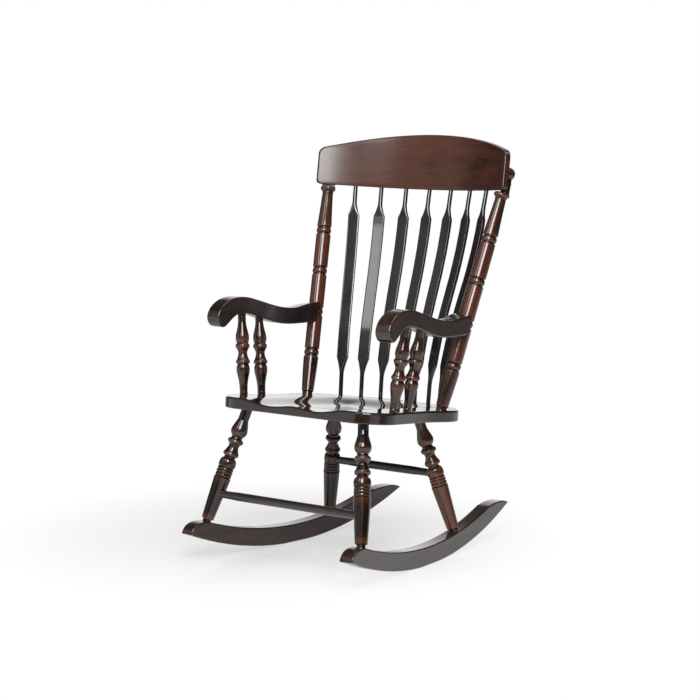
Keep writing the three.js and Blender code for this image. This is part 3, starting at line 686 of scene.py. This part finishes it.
def blended(tree, share, first, second):
    return node(tree, "MixShader", {0: share, 1: first, 2: second}).outputs[0]


def bump(tree, height, distance):
    return node(tree, "Bump", {"Height": height, "Distance": distance}).outputs["Normal"]


def blank_material(name):
    material = bpy.data.materials.new(name)
    material.use_nodes = True
    tree = material.node_tree
    return material, tree, tree.nodes["Principled BSDF"]


# The patterns of the wood: the scale along each axis, with the fibres along Z, then the scale of
# the whole, its detail, its roughness and its distortion
FIBRES = ((1, 1, 0.045), 620, 2, 0.6)
FLECKS = ((1, 1, 0.09), 240, 3, 0.6)
BANDS = ((1, 1, 0.12), 38, 3, 0.5, 0.6)
PATCHES = ((1, 1, 0.6), 24, 3, 0.6)
PEEL = (50, 1)
PEEL_HEIGHT = 0.000012
# The most, in metres, that a piece's wood shifts
PIECE_SHIFT = 3
# The places of the deep, plain and warm stain on the bands
BAND_STOPS = (0.25, 0.5, 0.85)
# Two values of a pattern, and the share of a colour at each
PATCH_SHARES = (0.4, 0.8, 0.0, 0.75)
FIBRE_SHARES = (0.3, 0.7, 0.4, 0.0)
# Two values of the pointiness or relief, between which wood is worn or its hollows are darker
WORN_EDGE = (0.52, 0.58)
WORN_RELIEF = (0.0, 0.7)
HOLLOW_RELIEF = (-0.7, 0.0)
HOLLOW_EDGE = (0.43, 0.48)
ROUGHNESS_SPAN = (0.2, 0.8)


def lacquered_wood(name, deep, stain, warm, roughness, hollow=0.6, wear=0.35, specular=0.5,
                   coat=1.0, coat_roughness=0.05):
    """Stained wood under gloss lacquer: bands, fibres, darker hollows and lighter worn edges."""
    material, tree, shader = blank_material(name)
    run = node(tree, "Attribute", attribute_name="grain").outputs["Vector"]
    tone = node(tree, "Attribute", attribute_name="tone").outputs["Fac"]
    height = node(tree, "Attribute", attribute_name="relief").outputs["Fac"]
    point = node(tree, "NewGeometry").outputs["Pointiness"]
    whose = node(tree, "ObjectInfo").outputs["Random"]
    shift = ranged(tree, whose, 0, 1, 0, PIECE_SHIFT)
    place = node(tree, "VectorMath", {0: run, 1: shift}, operation="ADD").outputs["Vector"]
    fibres, flecks, bands, patches = (
        pattern(tree, place, *settings) for settings in (FIBRES, FLECKS, BANDS, PATCHES))
    colour = ramp(tree, maths(tree, "ADD", bands, tone), list(zip(BAND_STOPS, (deep, stain, warm))))
    for value, shares, cover in (
        (maths(tree, "ADD", patches, tone), PATCH_SHARES, warm),
        (flecks, FIBRE_SHARES, deep),
        (fibres, FIBRE_SHARES, deep),
        (point, (*WORN_EDGE, 0.0, wear), warm),
        (height, (*WORN_RELIEF, 0.0, wear), warm),
        (height, (*HOLLOW_RELIEF, hollow, 0.0), deep),
        (point, (*HOLLOW_EDGE, hollow, 0.0), deep),
    ):
        colour = mixed(tree, ranged(tree, value, *shares), colour, cover)
    feed(tree, shader, {
        "Base Color": colour,
        "Roughness": ranged(tree, patches, *ROUGHNESS_SPAN, *roughness),
        "Normal": bump(tree, noise(tree, place, *PEEL), PEEL_HEIGHT),
        "Specular IOR Level": specular, "Coat Weight": coat, "Coat Roughness": coat_roughness,
    })
    return material


SCRATCHES = ((1, 1, 0.1), 2400, 3)
SCRATCH_STOPS = [(0.35, (0.32, 0.32, 0.31)), (0.7, (0.58, 0.58, 0.56))]
SCRATCH_ROUGHNESS = (0.3, 0.7, 0.25, 0.45)
SCRATCH_DEPTH = 0.00004


def brushed_steel():
    """Turned steel of the screws, with fine scratches."""
    material, tree, shader = blank_material("steel")
    scratches = pattern(tree, node(tree, "TexCoord").outputs["Object"], *SCRATCHES)
    feed(tree, shader, {
        "Base Color": ramp(tree, scratches, SCRATCH_STOPS),
        "Roughness": ranged(tree, scratches, *SCRATCH_ROUGHNESS),
        "Normal": bump(tree, scratches, SCRATCH_DEPTH), "Metallic": 1.0,
    })
    return material


YEAR_RINGS = ((1, 0.2, 1), 320, 2)
RING_STOPS = [(0.35, (0.022, 0.008, 0.005)), (0.7, (0.075, 0.028, 0.016))]
PORES = (1500, 4, 0.6)
PORE_SHARES = (0.4, 0.6, 0.5, 0.0)
PORE_COLOUR = (0.01, 0.004, 0.003)
PORE_ROUGHNESS = (0.3, 0.7, 0.22, 0.4)
PORE_DEPTH = 0.00005


def plug_wood():
    """End grain of the wooden plugs, stained like the piece round them."""
    material, tree, shader = blank_material("plug_end_grain")
    place = node(tree, "TexCoord").outputs["Object"]
    pores = noise(tree, place, *PORES)
    rings = ramp(tree, pattern(tree, place, *YEAR_RINGS), RING_STOPS)
    feed(tree, shader, {
        "Base Color": mixed(tree, ranged(tree, pores, *PORE_SHARES), rings, PORE_COLOUR),
        "Roughness": ranged(tree, pores, *PORE_ROUGHNESS),
        "Normal": bump(tree, pores, PORE_DEPTH), "Coat Weight": 0.5, "Coat Roughness": 0.1,
    })
    return material


# The deep, plain and warm stain of each wood. A roughness range that crosses 0.27 makes the
# denoiser draw outlines, so each keeps to one side of it.
CREST_WOOD = lacquered_wood(
    "crest_wood", (0.014, 0.004, 0.0025), (0.052, 0.0135, 0.006), (0.12, 0.033, 0.014),
    roughness=(0.28, 0.34), coat=0.5, coat_roughness=0.2)
SEAT_WOOD = lacquered_wood(
    "seat_wood", (0.006, 0.0035, 0.0025), (0.016, 0.008, 0.005), (0.04, 0.018, 0.011),
    roughness=(0.1, 0.16))
ARM_WOOD = lacquered_wood(
    "arm_wood", (0.005, 0.002, 0.0012), (0.018, 0.006, 0.0035), (0.075, 0.024, 0.011),
    roughness=(0.28, 0.34), coat_roughness=0.12)
ROCKER_WOOD = lacquered_wood(
    "rocker_wood", (0.008, 0.0033, 0.002), (0.03, 0.0105, 0.006), (0.095, 0.032, 0.015),
    roughness=(0.28, 0.34), coat_roughness=0.12)
TURNED_WOOD = lacquered_wood(
    "turned_wood", (0.0035, 0.0013, 0.001), (0.011, 0.0036, 0.0021), (0.15, 0.04, 0.013),
    roughness=(0.2, 0.27), hollow=0.95, wear=0.55, specular=0.4, coat=0.9, coat_roughness=0.03)
SLAT_WOOD = lacquered_wood(
    "slat_wood", (0.003, 0.002, 0.0015), (0.009, 0.0055, 0.004), (0.024, 0.012, 0.008),
    roughness=(0.16, 0.22), coat_roughness=0.09)
BAR_WOOD = lacquered_wood(
    "bar_wood", (0.01, 0.006, 0.0045), (0.022, 0.013, 0.01), (0.05, 0.026, 0.018),
    roughness=(0.3, 0.38), coat_roughness=0.2)
STEEL = brushed_steel()
PLUG = plug_wood()


# Pieces

def add_seat():
    side = spline_points([
        (SEAT.front_half, SEAT.front_half_y), (SEAT.waist_half, SEAT.waist_y),
        (SEAT.rear_half, SEAT.rear_half_y), (SEAT.corner_half, SEAT.corner_y),
        (SEAT.end_half, seat_back_at(SEAT.end_half)),
    ], SIDE_STEPS)
    side_y = [y for _, y in side]

    def half_at(y):
        if y <= SEAT.front_half_y:
            reach = (SEAT.front_half_y - y) / (SEAT.front_half_y - SEAT.front_y)
            return lerp(SEAT.straight_front_half, SEAT.front_half, sqrt(max(0, 1 - reach ** 2)))
        after = bisect(side_y, y)
        if after >= len(side):
            return SEAT.end_half
        (x0, y0), (x1, y1) = side[after - 1], side[after]
        return lerp(x0, x1, (y - y0) / (y1 - y0))

    def scoop_at(x, y):
        across = 1 - smoothstep(abs(x), SEAT.scoop_half * SCOOP_FLAT_SHARE, SEAT.scoop_half)
        back = 1 - smoothstep(y, SEAT.scoop_deep_y, SEAT.scoop_back_y)
        front = 1 - smoothstep(y, SEAT.front_y, SEAT.scoop_deep_y)
        ridge = exp(-((x / SEAT.pommel_half) ** 2))
        ridge *= 1 - smoothstep(y, SEAT.front_y, SEAT.pommel_back_y)
        depth = lerp(SEAT.scoop_depth, SEAT.scoop_front_depth, front)
        return depth * across * back * (1 - POMMEL_SHARE * ridge)

    top_levels = arc_levels(SEAT.top_round)
    bottom_levels = arc_levels(SEAT.bottom_round)
    level_count = len(bottom_levels) + len(top_levels)
    halves = {}

    def half_for(share):
        if share not in halves:
            half = SEAT.straight_front_half
            for _ in range(SOLVER_PASSES):
                half = half_at(lerp(SEAT.front_y, seat_back_at(half), share))
            halves[share] = half
        return halves[share]

    def place(u, v, level):
        share = (1 - cos(pi * (v + 1) / 2)) / 2
        half = half_for(share)
        low = level < len(bottom_levels)
        inset, drop = bottom_levels[level] if low else top_levels[level_count - 1 - level]
        x = u * (half - inset)
        y = lerp(SEAT.front_y + inset, seat_back_at(u * half) - inset, share)
        return (x, y, drop - SEAT.thickness if low else -scoop_at(x, y) - drop)

    shape = slab(SEAT_COLUMNS, SEAT_ROWS, level_count, place)
    tilt = Matrix.Translation((0, 0, SEAT.height)) @ Matrix.Rotation(-SEAT.tilt, 4, "X")
    grain = [(y, z, x) for x, y, z in shape[0]]
    add_piece("seat_plank", shape, SEAT_WOOD, ["seat"], tilt, grain)


def nose(tip, length, inset, rise):
    inner = 1 if ROCKER.lowest > tip else -1
    knee = tip + inner * length
    a = Vector((knee, rocker_top_at(knee)))
    b = Vector((tip + inner * inset, rocker_top_at(knee) + rise))
    c = Vector((tip, rocker_bottom_at(tip)))
    shares = [step / NOSE_STEPS for step in range(NOSE_STEPS + 1)]
    return [a * (1 - t) ** 2 + b * 2 * t * (1 - t) + c * t * t for t in shares]


def edge_points(start, end, height_at):
    places = [lerp(start, end, step / ROCKER_STEPS) for step in range(ROCKER_STEPS + 1)]
    return [Vector((place, height_at(place))) for place in places]


def rocker_outline():
    flat_half = ROCKER.floor_flat / 2
    front_tip = ROCKER.front_tip + ROCKER.tip_tuck
    back_tip = ROCKER.back_tip - ROCKER.tip_tuck
    front = nose(front_tip, ROCKER.front_nose, ROCKER.front_nose_inset, ROCKER.front_nose_rise)
    back = nose(back_tip, ROCKER.back_nose, ROCKER.back_nose_inset, ROCKER.back_nose_rise)
    return [
        *edge_points(front_tip, ROCKER.lowest - flat_half, rocker_bottom_at),
        *edge_points(ROCKER.lowest + flat_half, back_tip, rocker_bottom_at),
        *back[::-1][1:],
        *edge_points(back[0].x, front[0].x, rocker_top_at)[1:],
        *front[1:-1],
    ]


def add_rocker(side, sign):
    shape = plank_on_edge(rocker_outline(), ROCKER.thickness, ROCKER.round)
    toe = Matrix.Rotation(sign * ROCKER_TOE, 4, "Z")
    placement = Matrix.Translation((sign * ROCKER.middle_x, 0, 0)) @ toe
    grain = [(x, z, y) for x, y, z in shape[0]]
    add_piece(f"rocker_{side}_plank", shape, ROCKER_WOOD, [f"rocker_{side}"],
              placement, grain)


def add_leg(end, side, sign):
    axis = leg_axis(end, sign)
    turning_top = axis.length - LEG.top_neck
    base = turning_top - LEG.turning_height
    turning = scaled(LEG_TURNING_SHARES, base, LEG.turning_height, LEG.radius)
    ankle = LEG.ankle_height
    points = [
        (-LEG.rocker_tenon, LEG.foot_radius), (ankle - LEG.ankle_step, LEG.foot_radius),
        (ankle, LEG.ankle_radius), *turning,
        (turning_top, LEG.neck_radius), (axis.length + LEG.seat_tenon, LEG.neck_radius),
    ]
    creases = [ankle - LEG.ankle_step, ankle]
    creases += [base + share * LEG.turning_height for share in LEG_CREASE_SHARES]
    add_turning(f"leg_{end}_{side}", smooth_profile(points, creases), TURNED_WOOD, axis)


def add_stretcher(end):
    axis = stretcher_axis(end)
    taper = STRETCHER.tenon + STRETCHER.end_taper
    shoulder = LEG.radius + STRETCHER.tenon
    ends = STRETCHER.end_radius
    points = [
        (0, ends), (shoulder, ends), (shoulder + taper, STRETCHER.radius),
        (axis.length - shoulder - taper, STRETCHER.radius), (axis.length - shoulder, ends),
        (axis.length, ends),
    ]
    add_turning(f"stretcher_{end}", smooth_profile(points), BAR_WOOD, axis)


def ring_points(height):
    """A half-round bead between two grooves."""
    deep = POST.radius - POST.groove_depth
    groove = [
        (POST.ring_half, POST.radius),
        (POST.ring_half - POST.lip_length, POST.radius - POST.lip_depth),
        (POST.groove_offset, deep),
    ]
    return [
        *((height - offset, radius) for offset, radius in groove),
        *bead_points(height, POST.bead_half, deep, POST.radius),
        *((height + offset, radius) for offset, radius in reversed(groove)),
    ]


def post_profile():
    rings = [POST.first_ring + index * POST.ring_spacing for index in range(RING_COUNT)]
    plain = POST.ring_half + POST.ring_gap
    ankle = POST.neck_height + POST.ankle_step
    up, out = SWELL_SHARES
    lap_top = LAP_BASE + POST.lap_height
    foot = smooth_profile([
        (ankle, POST.ankle_radius),
        (lerp(ankle, POST.swell_height, up), lerp(POST.ankle_radius, POST.radius, out)),
        (POST.swell_height, POST.radius), (rings[0] - plain, POST.radius),
    ])
    taper = smooth_profile([
        (rings[-1] + plain, POST.radius),
        (lerp(rings[-1], POST.waist_height, TAPER_SHARE), POST.taper_radius),
        (POST.waist_height, POST.waist_radius),
    ])
    finial = smooth_profile([
        (lap_top, POST.lap_top_radius),
        *scaled(FINIAL_SHARES, lap_top, POST.finial_height, POST.finial_radius),
    ])
    return [
        (-POST.seat_tenon, POST.neck_radius), (POST.neck_height, POST.neck_radius),
        *foot,
        *(point for height in rings for point in ring_points(height)),
        *taper,
        *bead_points(POST.shoulder, POST.shoulder_half,
                     POST.waist_radius + POST.shoulder_root, POST.shoulder_radius),
        (LAP_BASE + POST.lap_gap, POST.lap_radius),
        *finial,
    ]


def add_post(side, sign):
    axis = post_axis(sign)
    to_local = standing(axis).inverted()
    origin, back = lap_plane(sign)
    origin, back = to_local @ origin, to_local.to_3x3() @ back

    def cut(point):
        """Moves a point above the shoulder back to the crest's face."""
        ahead = (origin - point).dot(back)
        inside = point.z > LAP_BASE + POST.lap_cut_gap and ahead > 0
        return point + back * ahead if inside else point

    add_turning(f"back_post_{side}", post_profile(), TURNED_WOOD, axis, cut)


def add_crest():
    half_thick = CREST.thickness / 2
    front = [(inset, drop - half_thick) for inset, drop in arc_levels(CREST.round)]
    levels = front + [(inset, -out) for inset, out in reversed(front)]
    grain = []

    def corner_drop(distance, radius):
        return 0 if distance >= radius else radius - sqrt(radius ** 2 - (radius - distance) ** 2)

    def place(u, v, level):
        inset, out = levels[level]
        half = CREST_HALF_WIDTH - inset
        x = half * sin(u * pi / 2)
        from_end = half - abs(x)
        bottom = crest_bottom_at(x) + inset + corner_drop(from_end, CREST.corner_bottom)
        top = crest_top_at(x) - CREST.top_tuck - inset - corner_drop(from_end, CREST.corner_top)
        z = lerp(bottom, top, (v + 1) / 2)
        grain.append((z, out, x))
        return crest_point(x, z, out)

    shape = slab(CREST_COLUMNS, CREST_ROWS, len(levels), place)
    away = [abs(x - CREST_TONE_X) for _, _, x in grain]
    tone = [lerp(*CREST_TONE_RANGE, smoothstep(distance, *CREST_TONE_SPAN)) for distance in away]
    add_piece("crest_plank", shape, CREST_WOOD, ["crest_rail"], grain=grain, tone=tone)


def add_slat(index):
    axis = slat_axis(index)
    shares = [share for share, _, _ in SLAT_ROW_SHARES]
    bow_at = flow(shares, [bow for _, _, bow in SLAT_ROW_SHARES])
    blade_runs = runs([(share, blade) for share, blade, _ in SLAT_ROW_SHARES], SLAT_CREASE_SHARES)
    blade_curves = [(run[-1][0], flow(*zip(*run))) for run in blade_runs]

    def blade_at(share):
        return next(curve(share) for end, curve in blade_curves if share <= end)

    stations = [(-SLAT.seat_tenon, 0, 0)]
    for step in range(SLAT_ROWS + 1):
        share = step / SLAT_ROWS
        stations.append((share * axis.length, blade_at(share), bow_at(share) * SLAT.bow))
    for crease in SLAT_CREASE_SHARES:
        stations.append((crease * axis.length, 1, bow_at(crease) * SLAT.bow))
    stations.append((axis.length + SLAT.crest_tenon, 0, 0))
    stations.sort()
    points, faces = lathe([(height, 1) for height, _, _ in stations], SLAT_SIDES)

    def squared(value, power):
        return 0 if abs(value) < TINY else copysign(abs(value) ** power, value)

    shaped = []
    for number, (x, y, height) in enumerate(points):
        _, blade, bow = stations[min(max(number - 1, 0) // SLAT_SIDES, len(stations) - 1)]
        power = lerp(1, BLADE_CORNER_SHARE, blade)
        half_width = lerp(SLAT.neck_radius, SLAT.blade_half_width, blade)
        half_thickness = lerp(SLAT.neck_radius, SLAT.blade_half_thickness, blade)
        across, out = squared(x, power) * half_width, squared(y, power) * half_thickness
        shaped.append((across, out + bow, height))
    add_piece(f"slat_{index + 1}_blade", (shaped, faces), SLAT_WOOD, [f"slat_{index + 1}"],
              standing(axis))


def add_arm(side, sign):
    table = ARM_TOP_SHARES + ARM_SCROLL_SHARES + ARM_UNDER_SHARES
    rough = [(-out * ARM.length, up * ARM.rise) for out, up in table]
    outline = closed_spline(rough, sharp=(0, len(rough) - 1))
    points, faces = plank_on_edge(outline, ARM.width, ARM.round)
    canted = []
    for x, y, z in points:
        near = 1 - smoothstep(-y, 0, ARM.length * ARM_CANT_SHARE)
        high = smoothstep(z, 0, ARM.rise / 2)
        canted.append((x, y, z - near * high * ARM.cant * sign * x / ARM.width))
    placement = Matrix.Translation(arm_frame(sign)[0]) @ Matrix.Rotation(sign * ARM_SPLAY, 4, "Z")
    grain = [(x, z, y) for x, y, z in canted]
    add_piece(f"arm_{side}_plank", (canted, faces), ARM_WOOD, [f"arm_{side}"],
              placement, grain)


def add_spindle(end, side, sign):
    axis = spindle_axis(end, sign)
    foot = SPINDLE.foot_height
    neck = SPINDLE.neck_radius
    points = [
        (-SPINDLE.seat_tenon, neck), (foot - 2 * SPINDLE.foot_groove, neck),
        (foot, neck - SPINDLE.foot_groove),
        *scaled(SPINDLE_TURNING_SHARES, foot, SPINDLE.turning_height, SPINDLE.radius),
        (foot + SPINDLE.turning_height, neck), (axis.length + ARM.spindle_tenon, neck),
    ]
    creases = [foot - 2 * SPINDLE.foot_groove, foot]
    creases += [foot + share * SPINDLE.turning_height for share in SPINDLE_CREASE_SHARES]
    add_turning(f"arm_spindle_{end}_{side}", smooth_profile(points, creases), TURNED_WOOD, axis)


add_seat()
add_crest()
for side, sign in SIDES.items():
    add_rocker(side, sign)
    add_post(side, sign)
    add_arm(side, sign)
    for end in LEG_ENDS:
        add_leg(end, side, sign)
        add_spindle(end, side, sign)
for end in STRETCHER_HEIGHTS:
    add_stretcher(end)
for index in range(SLAT_COUNT):
    add_slat(index)

for name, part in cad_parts.items():
    if "_screw_" in name or "_plug_" in name:
        part.data.materials.clear()
        part.data.materials.append(STEEL if "_screw_" in name else PLUG)


# Studio

CAMERA = Group(
    azimuth=radians(37.91), elevation=radians(7.16),
    distance=5531, target=(12, -65, 564), lens=105.43,
)
# The name, place, aim, width, height and power in watts of each soft box
LAMPS = [
    ("key_box", (1130, -1650, 1950), (0, 100, 1150), 1000, 1400, 52),
    ("front_box", (-250, -2080, 2250), (-100, 200, 800), 700, 1100, 9),
    ("top_box", (300, 200, 3400), (0, 0, 400), 2200, 2200, 28),
]

FLOOR_HALF = 30000
FLOOR_CLOUD = (1.5, 2)
FLOOR_STOPS = [(0.3, (0.86, 0.86, 0.855)), (0.7, (0.9, 0.9, 0.895))]
FLOOR_ROUGHNESS = (0.3, 0.7, 0.28, 0.36)
# Two places in metres, and the share of plain white at each. To the camera the floor fades away
# from the middle of its shadow. Gloss sees it fade away from the chair, less so at the sitter's
# left, and in front.
SHADOW_MIDDLE = (-0.3, 0.0, 0.0)
FLOOR_FADE = (0.3, 0.8, 0.55, 1.0)
FLOOR_GLOSS_FADE = (3.2, 4.6, 0.48, 0.0)
FLOOR_SIDE_FADE = (0.05, 0.35, 0.3, 1.0)
FLOOR_FRONT_FADE = (-1.8, -0.7, 0.7, 0.0)

# What gloss sees of the room: two values of the direction's Z or of its product with a bearing, and
# the brightness or the share at each
FRONT_AZIMUTH = radians(-30)
FRONT_SHARES = (0.6, 0.8, 0.0, 1.0)
CEILING_LEVELS = (0.08, 0.3, 0.05, 0.4)
WALL_AZIMUTH = radians(-38)
WALL_SHARES = (0.88, 0.96, 0.0, 1.0)
WALL_LEVELS = (0.1, 0.22, 0.6, 0.0)
BACKDROP_LEVELS = (0.86, 0.97, 0.06, 1.0)
ROOM_LIGHT = 0.15


def bearing(azimuth, elevation):
    """The direction at an azimuth, which is 0 in front of the chair, and an elevation."""
    return Vector((sin(azimuth) * cos(elevation), -cos(azimuth) * cos(elevation),
                   sin(elevation)))


def add_camera():
    data = bpy.data.cameras.new("photo_camera")
    data.lens = CAMERA.lens
    camera = add_object("photo_camera", data)
    back = bearing(CAMERA.azimuth, CAMERA.elevation)
    camera.location = (Vector(CAMERA.target) + back * CAMERA.distance) * MM
    camera.rotation_euler = (-back).to_track_quat("-Z", "Y").to_euler()
    bpy.context.scene.camera = camera


def add_lamp(name, place, aim, width, height, power):
    data = bpy.data.lights.new(name, "AREA")
    data.shape = "RECTANGLE"
    data.size = width * MM
    data.size_y = height * MM
    data.energy = power
    lamp = add_object(name, data)
    lamp.location = Vector(place) * MM
    lamp.rotation_euler = (Vector(aim) - Vector(place)).to_track_quat("-Z", "Y").to_euler()


def add_floor():
    """A pale floor that keeps the chair's shadow and is plain white to the camera further away."""
    mesh = bpy.data.meshes.new("floor")
    half = FLOOR_HALF * MM
    corners = [(-half, -half, 0), (half, -half, 0), (half, half, 0), (-half, half, 0)]
    mesh.from_pydata(corners, [], [(0, 1, 2, 3)])
    floor = add_object("floor", mesh)
    material, tree, shader = blank_material("studio_floor")
    place = node(tree, "TexCoord").outputs["Object"]
    parts = node(tree, "SeparateXYZ", {"Vector": place}).outputs
    cloud = noise(tree, place, *FLOOR_CLOUD)
    feed(tree, shader, {
        "Base Color": ramp(tree, cloud, FLOOR_STOPS),
        "Roughness": ranged(tree, cloud, *FLOOR_ROUGHNESS),
    })
    path = node(tree, "LightPath").outputs
    aside = measured(tree, "DISTANCE", place, SHADOW_MIDDLE)
    to_eye = maths(tree, "MULTIPLY", path["Is Camera Ray"], ranged(tree, aside, *FLOOR_FADE))
    away = ranged(tree, measured(tree, "LENGTH", place), *FLOOR_GLOSS_FADE)
    beside = maths(tree, "MULTIPLY", away, ranged(tree, parts["X"], *FLOOR_SIDE_FADE))
    bright = maths(tree, "MAXIMUM", beside, ranged(tree, parts["Y"], *FLOOR_FRONT_FADE))
    to_gloss = maths(tree, "MULTIPLY", path["Is Glossy Ray"], bright)
    white = node(tree, "Emission").outputs[0]
    look = blended(tree, maths(tree, "MAXIMUM", to_eye, to_gloss), shader.outputs[0], white)
    feed(tree, tree.nodes["Material Output"], {"Surface": look})
    mesh.materials.append(material)


def add_world():
    """White to the camera and through glass. Gloss meets a white backdrop behind the chair, and in
    front a room that is bright overhead and has a bright wall on one side. The rest is dark."""
    world = bpy.data.worlds.new("studio")
    bpy.context.scene.world = world
    world.use_nodes = True
    tree = world.node_tree
    tree.nodes.clear()
    way = node(tree, "TexCoord").outputs["Generated"]
    rise = node(tree, "SeparateXYZ", {"Vector": way}).outputs["Z"]

    def towards(azimuth, levels):
        return ranged(tree, measured(tree, "DOT_PRODUCT", way, bearing(azimuth, 0)), *levels)

    def lit(brightness):
        return node(tree, "Background", {"Color": (1, 1, 1, 1), "Strength": brightness}).outputs[0]

    overhead, beside = (ranged(tree, rise, *levels) for levels in (CEILING_LEVELS, WALL_LEVELS))
    overhead = maths(tree, "MULTIPLY", overhead, towards(FRONT_AZIMUTH, FRONT_SHARES))
    beside = maths(tree, "MULTIPLY", beside, towards(WALL_AZIMUTH, WALL_SHARES))
    backdrop = towards(CAMERA.azimuth + pi, BACKDROP_LEVELS)
    room = maths(tree, "MAXIMUM", maths(tree, "MAXIMUM", overhead, beside), backdrop)
    path = node(tree, "LightPath").outputs
    seen = blended(tree, path["Is Glossy Ray"], lit(ROOM_LIGHT), lit(room))
    straight = maths(tree, "MAXIMUM", path["Is Camera Ray"], path["Is Transmission Ray"])
    node(tree, "OutputWorld", {"Surface": blended(tree, straight, seen, lit(1.0))})


add_camera()
add_floor()
add_world()
for lamp in LAMPS:
    add_lamp(*lamp)
bpy.context.scene.view_settings.view_transform = "Standard"
